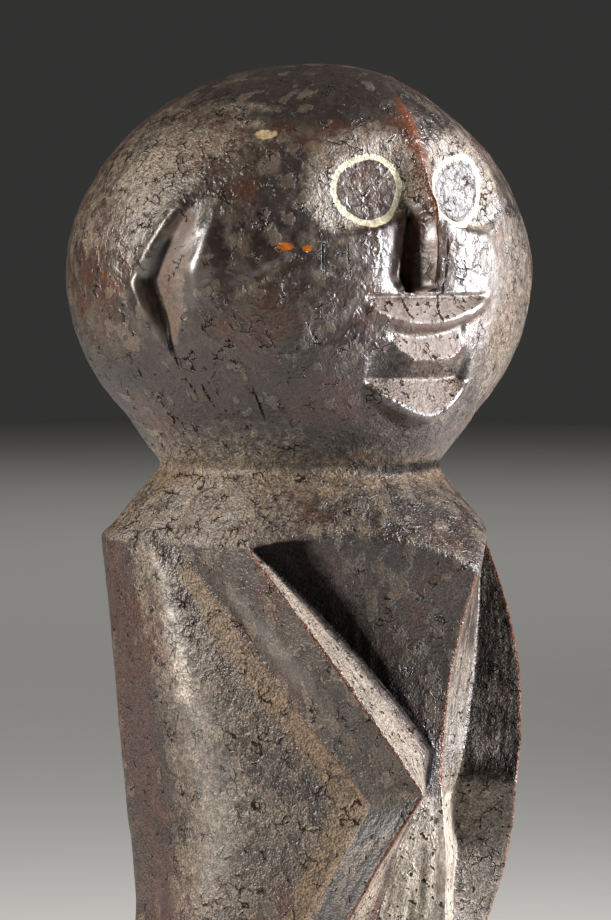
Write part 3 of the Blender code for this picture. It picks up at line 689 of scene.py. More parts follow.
class Places:
    """Where each point of the fine grid lies, and the carved edges near it.

    Zones and sides are masks of 0 or 1. Place counts the stretches from the keel round to the
    back. Bearings are from the face's middle, and folded is the bearing turned over at the back,
    so that nothing made with it jumps there.
    """

    def __init__(self, x, d, h, zone, seg, t, side):
        every = np.ones_like(x)
        self.x, self.d, self.h, self.side = x, d, h, side
        self.head, self.yoke, self.trunk, self.base = (
            (zone == part)[:, None] * every for part in (HEAD, YOKE, TRUNK, BASE))
        self.legs = (zone >= LEGS)[:, None] * every
        self.right = (side > 0)[None, :] * every
        self.stretch = seg[None, :] * every
        self.share = t[None, :] * every
        self.place = self.stretch + self.share
        self.below = smooth(-h, -ELBOW - 3.0, -ELBOW + 3.0)
        phi = np.arctan2(x, d - HEAD_FORWARD) - HEAD_TURN
        self.phi = np.arctan2(np.sin(phi), np.cos(phi))
        self.turn = np.abs(self.phi)
        self.degrees = np.degrees(self.phi)
        self.folded = np.degrees(np.arctan2(np.sin(self.phi), np.abs(np.cos(self.phi))))
        self.radius = np.hypot(x, d - HEAD_FORWARD)
        self.across = self.radius * np.sin(self.phi)
        self.front = self.head * smooth(np.cos(self.phi), 0.3, 0.6)
        self.line, self.out = lip_line(self.across)
        self.rim, self.rim_out = chin_rim(self.across)
        self.ring = ring_distance(self.phi, x, d, h, self.right)
        self.ledge = LEDGE_H + LEDGE_RISE * np.exp(-np.abs(self.across) / LEDGE_REACH)
        self.ear_rear = np.radians(span(h, EAR_REAR))
        self.ear_fore = np.radians(span(h, EAR_FORE))
        self.ear_ramp = np.radians(span(h, EAR_RAMP))
        self.wall_foot = self.ear_rear + 0.5 * self.ear_ramp


def capped(mask):
    """The mask kept from 0 to 1."""
    return np.clip(mask, 0.0, 1.0)


def head_spots(at):
    """Masks of the single spots on the head, by kind."""
    spots = {kind: np.zeros_like(at.x) for kind in ("knot", "clay", "crust", "dark", "red", "earth")}
    for kind, middle, level, wide, high in HEAD_SPOTS:
        aside = (at.degrees - middle) * np.pi / 180.0 * at.radius / wide
        gap = np.hypot(aside, (at.h - level) / high)
        spots[kind] = np.maximum(spots[kind], (at.head + at.yoke) * smooth(-gap, -1.6, -0.4))
    return spots


def rubbed_cheek(at):
    """The far cheek, crusted and rubbed flat."""
    return 0.8 * bump(at.degrees, -38.0, 18.0) * inside(at.h, 230.0, 262.0, 10.0)


def jaw_side(at):
    """The near side of the jaw."""
    return at.head * bump(at.h, JAW, 16.0) * smooth(at.folded, 5.0, 30.0)


def outer_strip(at):
    """The trunk from behind the flank's soft ridge to the middle of the back."""
    return at.trunk * smooth(at.place, 5.4, 5.75)


def arm_band(at):
    """The flat outer face of each arm and the step at its rear edge."""
    return at.trunk * ((at.stretch == 2) + (at.stretch == 3))


def belly(at):
    """The keel's stretch under the elbows."""
    return (at.stretch == 0) * at.trunk * at.below


def flank_swell(at):
    """The rounded swell of the near flank."""
    return at.trunk * bump(at.place, RIDGE_PLACE, 0.35) * inside(at.h, 110.0, 184.0, 10.0) * at.right


def ear_boss(at):
    """The ear's raised boss, which leans back at its foot."""
    leaning = TRAGUS[0] - np.degrees(TRAGUS_LEAN * (at.h - TRAGUS[1]) / at.radius)
    return bump(at.degrees, leaning, 8.0) * bump(at.h, TRAGUS[1], 13.0)


def ear_lobe(at):
    """The rolled wall behind the ear."""
    return bump(at.turn, at.ear_rear + at.ear_ramp, 0.035) * inside(at.h, 240.0, 268.0, 4.0)


def lip_brims(at):
    """The brims of the upper lip and of the lower lip."""
    upper = bump(at.h, at.line - 0.5, 1.2) * (at.out < 1.0)
    lower = bump(at.h, at.rim - 0.3, 1.3) * (at.rim_out < 1.1)
    return at.front * np.maximum(upper, lower)


def tan_marks(at):
    """Tan fibre left bare on the mouth's steps, and thinly low on the belly."""
    edge = np.interp(at.across, [m[0] for m in LIP_EDGE], [m[1] for m in LIP_EDGE])
    step = smooth(at.h, at.line - 0.2, at.line + 0.6) * smooth(-at.h, -LIP_TOP, -LIP_TOP + 1.5)
    step = step * smooth(-at.out, -1.0, -0.85)
    lip = smooth(at.h, edge - 0.2, edge + 0.6)
    lip = lip * smooth(-at.h, -at.line + LIP_UNDER, -at.line + LIP_UNDER + 0.8)
    lip = lip * smooth(at.across, -12.5, -11.0) * smooth(-at.across, -9.0, -7.0)
    under = smooth(at.h, at.rim + 0.6, at.rim + 1.6) * smooth(-at.h, -MOUTH_H, -MOUTH_H + 0.6)
    under = under * smooth(-at.rim_out, -0.97, -0.85)
    chip = at.trunk * (at.stretch == 0) * smooth(-at.h, -128.0, -116.0)
    return capped(at.front * (step + lip + under) + 0.55 * chip)


def earth_marks(at, spots):
    """Brown dust on the ear's floor and in its own spots."""
    floor = smooth(at.turn, at.ear_fore - 0.005, at.ear_fore + 0.01)
    floor = floor * smooth(-at.turn, -at.wall_foot - 0.006, -at.wall_foot + 0.006)
    floor = floor * inside(at.h, EAR_FOOT + 4.0, EAR_TOP - 5.0, 4.0)
    return np.maximum(capped(at.head * floor), spots)


def dark_marks(at, spots):
    """Darker wood: its own spots on the head, the head and yoke as a whole, the near jaw, the far eye's
    fill, the arm bands, the lower flank, the far shoulder and the trunk behind the soft ridge; on the
    near breast above the elbows and round the neck under the head it is painted shade.
    """
    breast = at.trunk * (at.stretch == 0) * (1.0 - at.below) * at.right
    far_eye = at.front * smooth(-at.ring, -0.5, 0.5) * (1.0 - at.right)
    back = (0.7 - 0.3 * smooth(at.place, 6.0, 7.0)) * outer_strip(at)
    low_flank = at.trunk * (at.stretch == 4) * smooth(-at.h, -150.0, -120.0)
    shoulder = at.yoke + at.trunk * smooth(at.h, 182.0, 188.0)
    return capped(spots + 0.5 * breast + 0.25 * at.head + 0.2 * at.yoke + 0.55 * jaw_side(at)
                  + far_eye + 0.3 * (at.head + at.yoke) * bump(at.h, NECK, 8.0) + back
                  + (0.4 + 0.4 * at.below) * arm_band(at) + 0.25 * low_flank
                  + 0.3 * shoulder * smooth(-at.folded, -40.0, -10.0))


def red_marks(at, spots):
    """Red wood that shows through: its own spots and the trunk behind the soft ridge."""
    return capped(spots + at.trunk * (0.7 * smooth(at.place, 5.3, 5.8)
                                      - 0.3 * smooth(at.place, 6.0, 7.0)))


def crust_marks(at, spots):
    """Crackled crust: round the eyes, on the head's near side, the collar, flanks and far wall."""
    over_ledge = smooth(at.h, at.ledge - 0.6, at.ledge + 0.6)
    round_eye = smooth(at.ring, 0.0, 0.8) * smooth(-at.ring, -9.0, -4.5) * over_ledge
    upper_side = bump(at.degrees, 88.0, 26.0) * inside(at.h, 262.0, 288.0, 8.0)
    collar = at.head * smooth(-at.h, -224.0, -212.0) + at.yoke
    collar = collar * smooth(at.folded, 5.0, 60.0) + 0.4 * bump(at.h, NECK, 5.0) * (at.head + at.yoke)
    flank = at.trunk * (at.stretch >= 4) * (at.stretch <= 5) * (1.0 - outer_strip(at))
    return capped(at.head * (round_eye + 0.4 * upper_side + rubbed_cheek(at)) + 0.6 * spots
                  + 0.3 * at.front * smooth(-at.ring, 0.5, 1.5) + 0.55 * collar
                  + flank * (0.2 + 0.4 * bump(at.place, RIDGE_PLACE, 0.35))
                  + 0.6 * at.trunk * (1.0 - at.right) * (at.stretch == 1))


def ochre_marks(at):
    """Ochre dirt beside the arm's rear edge, in the neck's crease and thinly on the yoke."""
    strip = (at.stretch == 4) * smooth(0.2 * smooth(at.h, 140.0, 180.0) - at.share, -0.30, -0.12)
    strip = strip + (at.stretch == 3)
    crease = 0.5 * bump(at.h, NECK, 5.0) * (at.head + at.yoke)
    return capped(strip * at.trunk * smooth(-at.h, -188.0, -182.0) + 0.8 * crease
                  + 0.15 * at.yoke)


def pale_marks(at):
    """Bare pale fibre: the arms' inner walls, the belly and the far side of the keel."""
    near_wall = at.right * smooth(at.share, -0.15, 0.45)
    wall = (at.stretch == 1) * at.trunk * (near_wall + 0.5 * (1.0 - at.right) * at.below)
    keel_side = (at.stretch == 0) * at.trunk * (1.0 - at.right) * smooth(-at.h, -182.0, -160.0)
    return capped(wall + belly(at) + 0.9 * keel_side)


def painted_shade_marks(at):
    """Painted shade, near black, in the deep cuts and under edges: the notch beside the keel, the far
    trench, the mouth's corner, the nose's slot, under the eye's ledge, the foot of the ear's wall, the
    band's rear step and the neck's crease.
    """
    notch = (at.stretch == 0) * at.trunk * smooth(at.share, 0.55, 0.92) * (1.0 - at.below) * at.right
    notch = notch + (0.8 * (at.stretch == 1) * at.trunk * smooth(-at.share, -0.5, 0.05)
                     * (1.0 - at.below) * at.right)
    trench = (at.stretch == 1) * at.trunk * (1.0 - at.right) * (1.0 - at.below)
    corner_pit = at.front * inside(at.across, 5.0, 12.0, 4.0) * inside(at.h, MOUTH_H, 235.0, 2.0)
    slot = at.front * inside(at.across, 2.8, 4.4, 0.8) * inside(at.h, NOSE_TIP, SLOT_TOP, 2.0)
    under_ledge = at.front * bump(at.h, at.ledge - 1.1, 0.9)
    under_ledge = under_ledge * inside(np.abs(at.across), 7.0, 22.0, 4.0)
    ear_foot = at.head * bump(at.turn, at.wall_foot - 0.02, 0.028) * inside(at.h, 237.0, 260.0, 5.0)
    neck = (0.3 + 0.4 * smooth(-at.folded, -30.0, 0.0)) * (at.head + at.yoke)
    return capped(0.8 * ear_foot + 0.9 * notch + 0.6 * trench + 0.45 * corner_pit + slot
                  + 0.6 * under_ledge
                  + 0.45 * (at.stretch == 3) * at.trunk * smooth(-at.h, -186.0, -180.0)
                  + neck * bump(at.h, NECK + 0.5, 1.8))


def polish_marks(at):
    """Where hands have polished the wood: ear, cheeks, nose, lips, flank, band and belly."""
    sheen = at.trunk * (at.stretch == 2) * bump(at.h, 168.0, 18.0) * bump(at.share, 0.65, 0.25)
    sheen = sheen + belly(at) * smooth(-at.share, -0.35, -0.05)
    fold = at.front * bump(at.across, 8.0, 2.2) * inside(at.h, NOSE_TIP, SLOT_TOP, 4.0)
    bar = at.front * bump(at.across, 0.0, 1.6) * inside(at.h, NOSE_TIP, 265.0, 3.0)
    return capped(at.head * (ear_boss(at) + ear_lobe(at) + fold + bar + 0.6 * lip_brims(at)
                             + 1.3 * rubbed_cheek(at)) + flank_swell(at) + sheen)


def even_marks(at, polish):
    """Where the fine relief is rubbed away."""
    return capped(polish + 0.8 * arm_band(at) * at.below + rubbed_cheek(at) + 0.4 * jaw_side(at)
                  + 0.4 * outer_strip(at))


def unflaked(at):
    """Where no flakes of skin are left: behind the soft ridge and on the rubbed cheek."""
    return capped(outer_strip(at) * smooth(-at.place, -7.0, -6.0) + rubbed_cheek(at))


def handled_edges(at):
    """Where handling has rounded the head's edges: the ear's boss and wall, and the lips."""
    return capped(at.head * (ear_boss(at) + 0.3 * ear_lobe(at) + 0.8 * lip_brims(at)))


def wear_distance(at):
    """Distance from the nearest arris or brim that is worn down to the wood, u."""
    nose = np.hypot(at.across, np.clip(NOSE_TIP - at.h, 0.0, 9.0)
                    + 0.3 * np.clip(at.h - 292.0, 0.0, 99.0))
    nose = nose * (0.5 - 0.28 * inside(at.h, 272.0, 290.0, 6.0))
    brow = np.abs(at.h - LEDGE_H + 1.2) + np.clip(14.0 - np.abs(at.across), 0.0, 9.0)
    upper = np.abs(at.h - at.line) + 9.0 * np.clip(at.out - 0.95, 0.0, 1.0)
    lower = np.abs(at.h - at.rim) + 9.0 * np.clip(at.rim_out - 0.95, 0.0, 1.0) + 0.3
    lips = np.minimum(upper, lower)
    ear = np.abs(at.turn - at.ear_rear - np.radians(2.0)) * at.radius
    ear = ear + np.clip(EAR_FOOT + 8.0 - at.h, 0.0, 9.0) + np.clip(at.h - EAR_TOP + 3.0, 0.0, 9.0) + 0.8
    ear = np.minimum(ear, run_distance(at.phi, at.radius, at.h, EAR_SCUFF) + 0.2)
    face_edges = np.minimum(np.minimum(nose + 0.25, lips + 0.55), np.minimum(ear, brow + 0.9))
    of_head = np.where(at.front > 0.5, face_edges, ear)
    of_trunk = edge_distance(at.x, at.d, at.h, at.trunk, at.side) + 9.0 * at.legs
    return np.minimum(np.where(at.head > 0, of_head, of_trunk), 8.0)


def surface_marks(at):
    """Masks from 0 to 1 over the grid, and distances in u, that tell the wood where its skin,
    dust, wear, paint and cracks lie, and where shade and highlight are painted into its colour."""
    spots = head_spots(at)
    crust = crust_marks(at, spots["crust"])
    polish = polish_marks(at)
    cracks = run_distance(at.phi, at.radius, at.h, HEAD_CRACKS)
    return {
        "knot": spots["knot"],
        "clay": spots["clay"],
        "tan": tan_marks(at),
        "earth": earth_marks(at, spots["earth"]),
        "dark": dark_marks(at, spots["dark"]),
        "red": red_marks(at, spots["red"]),
        "crust": crust,
        "ochre": ochre_marks(at),
        "pale": pale_marks(at),
        "grit": capped(1.0 - 0.75 * at.head + 0.6 * crust * at.head
                       + 0.6 * at.head * bump(at.h, JAW, 14.0) - 0.5 * belly(at)),
        "painted_shade": painted_shade_marks(at),
        # Cream: the belly's pale fibre, lightened past it as painted highlight, and a painted highlight
        # on the flank's swell
        "cream": capped(belly(at) + 1.05 * flank_swell(at) * bump(at.h, 160.0, 28.0)),
        "polish": polish,
        "even": even_marks(at, polish),
        "wear": wear_distance(at),
        "ring": np.where((at.head > 0) & (at.turn < 1.3), np.clip(at.ring, -6.0, 6.0), 6.0),
        "crack": np.where(at.head > 0, np.minimum(cracks, 4.0), 4.0),
    }


def closed_mesh(name, points, crown, foot):
    """Mesh of the grid, closed by a fan at the crown and a flat fan under the base."""
    rows, cols, _ = points.shape
    r, c = np.meshgrid(np.arange(rows - 1), np.arange(cols), indexing="ij")
    n = (c + 1) % cols
    quads = np.stack([r * cols + c, r * cols + n, (r + 1) * cols + n, (r + 1) * cols + c], axis=-1)
    top, bottom, last = rows * cols, rows * cols + 1, (rows - 1) * cols
    faces = quads.reshape(-1, 4).tolist()
    for k in range(cols):
        m = (k + 1) % cols
        faces.append((top, m, k))
        faces.append((bottom, last + k, last + m))
    mesh = bpy.data.meshes.new(name)
    mesh.from_pydata(np.concatenate([points.reshape(-1, 3), [crown, foot]]).tolist(), [], faces)
    mesh.update()
    return mesh


def leg_cutter():
    """Arched prism that parts the legs, from just over the soles to the crotch."""
    half = 0.5 * LEG_GAP / U
    outline = [(-half, GAP_FOOT), (half, GAP_FOOT)]
    for k in range(ARCH_STEPS + 1):
        angle = math.pi * k / ARCH_STEPS
        outline.append((half * math.cos(angle), CROTCH - half + half * math.sin(angle)))
    count = len(outline)
    lift = BASE_HEIGHT / U
    verts = [(x * U, y * U, (h + lift) * U) for y in (-CUTTER_REACH, CUTTER_REACH)
             for x, h in outline]
    faces = [tuple(range(count)), tuple(reversed(range(count, 2 * count)))]
    for k in range(count):
        n = (k + 1) % count
        faces.append((n, k, k + count, n + count))
    mesh = bpy.data.meshes.new("leg_gap_cutter")
    mesh.from_pydata(verts, [], faces)
    cutter = bpy.data.objects.new("leg_gap_cutter", mesh)
    bpy.context.scene.collection.objects.link(cutter)
    return cutter


def softened(points, at):
    """The grid with its arrises softened as the knife and years of handling leave them."""
    soft = np.select([at.base > 0, at.head > 0], [0.0, 0.12], 0.35)
    points = relaxed(points, soft, 2)
    yoke_rows = np.flatnonzero(at.yoke[:, 0])
    first, edge_row = yoke_rows[0], yoke_rows[-1]
    down = (np.arange(len(points)) - first) / (edge_row - first)
    ease = np.select([at.stretch == 0, at.stretch <= 3], [0.4, 0.8], 0.15)
    points = relaxed(points, ease * inside(down, 0.15, 0.8, 0.15)[:, None], 24, upwards=0.0)
    neck = 0.8 * bump(at.h, NECK, 4.0) * (at.head + at.yoke)
    points = relaxed(points, neck, 4, upwards=1.0)
    points = relaxed(points, 0.6 * handled_edges(at), 8)
    flank = at.right * bump(at.place, RIDGE_PLACE, 0.4)
    return relaxed(points, 0.6 * flank * inside(at.h, 100.0, 178.0, 12.0), 60)


def hollows(points, normal):
    """How deep each point lies in a hollow of the carving: 1 is a deep one, -1 a sharp arris."""
    even = relaxed(points, np.full(points.shape[:2], 0.8), 6)
    return np.clip(np.sum((even - points) * normal, axis=-1) / HOLLOW_REACH, -1.0, 1.0)


def flaked(mm, at, marks):
    """Noise of the skin of smoke and oil, raised where it stays on and lowered where it is gone."""
    flake = layered_noise(mm, (FLAKE_SIZE, FLAKE_SIZE, FLAKE_SIZE * 1.3), seed=21)
    bare = capped(marks["tan"] + marks["earth"] + marks["pale"] + marks["painted_shade"])
    flake = flake + 0.30 * marks["crust"] - 0.6 * bare - 0.12 * at.head
    return flake - 0.3 * unflaked(at)


def tool_relief(mm, at, marks):
    """Height of adze ripples, raised fibre, flakes and the band's rounding at each point, mm."""
    wave = 0.22 * lattice_noise(mm, (13.0, 13.0, 16.0), seed=3)
    wave = wave + 0.10 * lattice_noise(mm, (4.5, 4.5, 7.0), seed=5)
    rough = marks["pale"] + marks["painted_shade"] + marks["tan"] * 0.5
    wave = wave + 0.25 * rough * lattice_noise(mm, (1.8, 1.8, 6.0), seed=7)
    wave = wave + FLAKE_RISE * smooth(marks["flake"], 0.05, 0.18)
    band = at.trunk * (at.stretch == 2) * at.right
    wave = wave - BAND_ROUNDING * band * smooth(at.share, 0.45, 1.0) ** 2 * bump(at.h, 170.0, 16.0)
    return wave * (1.0 - at.base)


def keep_marks(mesh, at, marks):
    """Keeps the masks and the way of the cuts as attributes on the mesh's points."""
    way = np.stack([at.place * CUT_WIDTH, at.h * CUT_STRETCH, at.side * np.ones_like(at.h)],
                   axis=-1).reshape(-1, 3)
    layer = mesh.attributes.new("cut_way", "FLOAT_VECTOR", "POINT")
    layer.data.foreach_set("vector", np.concatenate([way, np.zeros((2, 3))]).ravel().astype(np.float32))
    for name, values in marks.items():
        layer = mesh.attributes.new(name, "FLOAT", "POINT")
        layer.data.foreach_set("value", np.append(values.ravel(), (0.0, 0.0)).astype(np.float32))


def parted(mesh):
    """The mesh with the gap between the legs cut out of it."""
    uncut = bpy.data.objects.new("uncut_figure", mesh)
    bpy.context.scene.collection.objects.link(uncut)
    cutter = leg_cutter()
    parting = uncut.modifiers.new("leg_gap", "BOOLEAN")
    parting.operation = "DIFFERENCE"
    parting.solver = "EXACT"
    parting.object = cutter
    seen = uncut.evaluated_get(bpy.context.evaluated_depsgraph_get())
    cut = bpy.data.meshes.new_from_object(seen)
    for spare in (uncut, cutter):
        bpy.data.objects.remove(spare, do_unlink=True)
    return cut


def carve_figure():
    """The dressed figure: fine grid, softened edges, tool marks, masks and the parted legs."""
    x, d, h, zone = figure_grid(NEAR_COLUMNS, FAR_COLUMNS, FINE_ROWS)
    seg, t, side = columns(NEAR_COLUMNS, FAR_COLUMNS)
    at = Places(x, d, h, zone, seg, t, side)
    marks = surface_marks(at)
    points = softened(to_world(x, d, h), at)
    normal = grid_normals(points)
    mm = points * 1000.0
    marks["hollow"] = hollows(points, normal)
    marks["flake"] = flaked(mm, at, marks)
    points = points + normal * (tool_relief(mm, at, marks) * 0.001)[..., None]
    crown, foot = to_world(0.0, HEAD_FORWARD, CROWN), (0.0, 0.0, 0.0)
    mesh = closed_mesh("carved_figure_grid", points, crown, foot)
    keep_marks(mesh, at, marks)
    cut = parted(mesh)
    cut.name = "carved_figure_dressed"
    cut.shade_smooth()
    piece = bpy.data.objects.new("carved_figure_dressed", cut)
    bpy.context.scene.collection.objects.link(piece)
    return piece


# Wood patterns: size of a cell in mm, and how many finer layers it has
SPECK_SIZE, SPECK_DETAIL = 0.5, 1.0
MOTTLE_SIZE, MOTTLE_DETAIL = 1.7, 2.0
PATCH_SIZE, PATCH_DETAIL = 6.0, 6.0
BROAD_SIZE, BROAD_DETAIL = 24.0, 5.0
FIBRE_SIZE, FIBRE_DETAIL = 1.3, 5.0
CRACK_SIZE = 2.9
GATE_SIZE, GATE_DETAIL = 4.0, 2.0
# How far a swirl of the mottle bends the cracks, metres
WARP_REACH = 0.0022
# Level of the flake mask at which the skin of smoke and oil starts
FILM_EDGE = 0.30
# Masks that the figure's points carry
MASKS = ("tan", "earth", "crust", "ochre", "pale", "painted_shade", "polish", "wear", "ring", "crack",
         "flake", "hollow", "knot", "clay", "dark", "red", "grit", "cream", "even")
# Masks and distances whose edges a pattern makes ragged, and how ragged
RAGGED = (
    ("tan", "speck", 0.7), ("earth", "speck", 0.8), ("ochre", "patch", 1.6),
    ("pale", "fibre", 1.1), ("painted_shade", "fibre", 0.6), ("wear", "mottle", 1.5),
    ("ring", "patch", 1.6), ("crack", "speck", 0.5), ("flake", "speck", 0.22),
    ("polish", "patch", 0.6), ("hollow", "patch", 0.6), ("crust", "mottle", 1.2),
    ("knot", "mottle", 0.6), ("clay", "mottle", 1.2), ("dark", "patch", 1.4),
    ("red", "patch", 1.6), ("cream", "patch", 1.4),
)
# Colour and roughness of the wood under all its coats
WOOD_COLOUR = "#31261f"
WOOD_ROUGHNESS = 0.32
# Roughness of hand-polished wood, and of the oil on it
POLISH_ROUGHNESS = 0.33
OIL_ROUGHNESS = 0.28


def srgb(code):
    """Linear colour of an sRGB hex code."""
    parts = [int(code[i:i + 2], 16) / 255.0 for i in (1, 3, 5)]
    return [p / 12.92 if p <= 0.04045 else ((p + 0.055) / 1.055) ** 2.4 for p in parts] + [1.0]


def add(tree, kind, links=None, out=0, **settings):
    """Adds a node with its settings, input values and links; returns the output asked for."""
    node = tree.nodes.new(kind)
    for key, value in settings.items():
        setattr(node, key, value)
    for key, value in (links or {}).items():
        if isinstance(value, bpy.types.NodeSocket):
            tree.links.new(value, node.inputs[key])
        else:
            node.inputs[key].default_value = value
    return node.outputs[out] if len(node.outputs) else None


def wood_patterns(tree, place, cut_way):
    """Specks, mottle, patches and broad clouds of the wood, and fibre that follows the cuts."""
    patterns = {
        name: add(tree, "ShaderNodeTexNoise", {"Vector": place, "Scale": 1000.0 / size,
                                               "Detail": detail, "Roughness": 0.6})
        for name, size, detail in (("speck", SPECK_SIZE, SPECK_DETAIL),
                                   ("mottle", MOTTLE_SIZE, MOTTLE_DETAIL),
                                   ("patch", PATCH_SIZE, PATCH_DETAIL),
                                   ("broad", BROAD_SIZE, BROAD_DETAIL))}
    patterns["fibre"] = add(tree, "ShaderNodeTexNoise", {"Vector": cut_way, "Scale": 1.0 / FIBRE_SIZE,
                                                         "Detail": FIBRE_DETAIL, "Roughness": 0.68})
    return patterns


def open_plates(tree, place, crust):
    """Cracks between the plates of the skin, and the curl of the plates' edges beside them."""
    gate = add(tree, "ShaderNodeTexNoise", {"Vector": place, "Scale": 1000.0 / GATE_SIZE,
                                            "Detail": GATE_DETAIL})
    swirl = add(tree, "ShaderNodeTexNoise", {"Vector": place, "Scale": 1000.0 / MOTTLE_SIZE,
                                             "Detail": MOTTLE_DETAIL}, out="Color")
    swirl = add(tree, "ShaderNodeVectorMath", {0: swirl, 1: (WARP_REACH,) * 3, 2: place},
                operation="MULTIPLY_ADD")
    plate = add(tree, "ShaderNodeTexVoronoi", {"Vector": swirl, "Scale": 1000.0 / CRACK_SIZE},
                out="Distance", feature="DISTANCE_TO_EDGE")
    loose = add(tree, "ShaderNodeMath", {0: crust, 1: 0.10, 2: gate}, operation="MULTIPLY_ADD")
    opened = add(tree, "ShaderNodeMapRange", {0: loose, 1: 0.57, 2: 0.64})
    stroke = add(tree, "ShaderNodeMapRange", {0: plate, 1: 0.060, 2: 0.030})
    stroke = add(tree, "ShaderNodeMath", {0: stroke, 1: opened}, operation="MULTIPLY")
    lifted = add(tree, "ShaderNodeMapRange", {0: loose, 1: 0.46, 2: 0.56})
    curl = add(tree, "ShaderNodeMapRange", {0: plate, 1: 0.22, 2: 0.06})
    curl = add(tree, "ShaderNodeMath", {0: curl, 1: lifted}, operation="MULTIPLY")
    return stroke, curl


def ring_strokes(tree, ragged_ring, ring, patch):
    """Distances from the painted ring's cream line and from the dark line inside it."""
    line = add(tree, "ShaderNodeMath", {0: ragged_ring, 1: 0.8}, operation="SUBTRACT")
    line = add(tree, "ShaderNodeMath", {0: line}, operation="ABSOLUTE")
    inner = add(tree, "ShaderNodeMath", {0: ring, 1: 1.6}, operation="ADD")
    inner = add(tree, "ShaderNodeMath", {0: inner}, operation="ABSOLUTE")
    inner = add(tree, "ShaderNodeMath", {0: patch, 1: 0.9, 2: inner}, operation="MULTIPLY_ADD")
    return line, inner


def coated(tree, coats):
    """Colour and roughness of the bare wood under coats laid one over the other."""
    skin, gloss = srgb(WOOD_COLOUR), WOOD_ROUGHNESS
    for pattern, start, full, cover, colour, roughness in coats:
        share = add(tree, "ShaderNodeMapRange", {0: pattern, 1: start, 2: full, 4: cover})
        skin = add(tree, "ShaderNodeMix", {0: share, 6: skin, 7: srgb(colour)}, out=2,
                   data_type="RGBA")
        gloss = add(tree, "ShaderNodeMix", {0: share, 2: gloss, 3: roughness})
    return skin, gloss


def swallowed_light(tree, dull_places):
    """Specular level of the wood, a tenth as strong in each place that swallows the light."""
    level = 0.5
    for pattern, start, full in dull_places:
        share = add(tree, "ShaderNodeMapRange", {0: pattern, 1: start, 2: full, 3: 1.0, 4: 0.1})
        level = add(tree, "ShaderNodeMath", {0: share, 1: level}, operation="MULTIPLY")
    return level


def fine_relief(tree, layers, even):
    """Relief too fine for the mesh, from layers of height in mm, weaker where it is rubbed."""
    height = 0.0
    for pattern, start, full, rise in layers:
        layer = add(tree, "ShaderNodeMapRange", {0: pattern, 1: start, 2: full, 4: rise})
        height = add(tree, "ShaderNodeMath", {0: layer, 1: height}, operation="ADD")
    strength = add(tree, "ShaderNodeMapRange", {0: even, 3: 1.0, 4: 0.25})
    return add(tree, "ShaderNodeBump", {"Strength": strength, "Distance": 0.001, "Height": height},
               out="Normal")


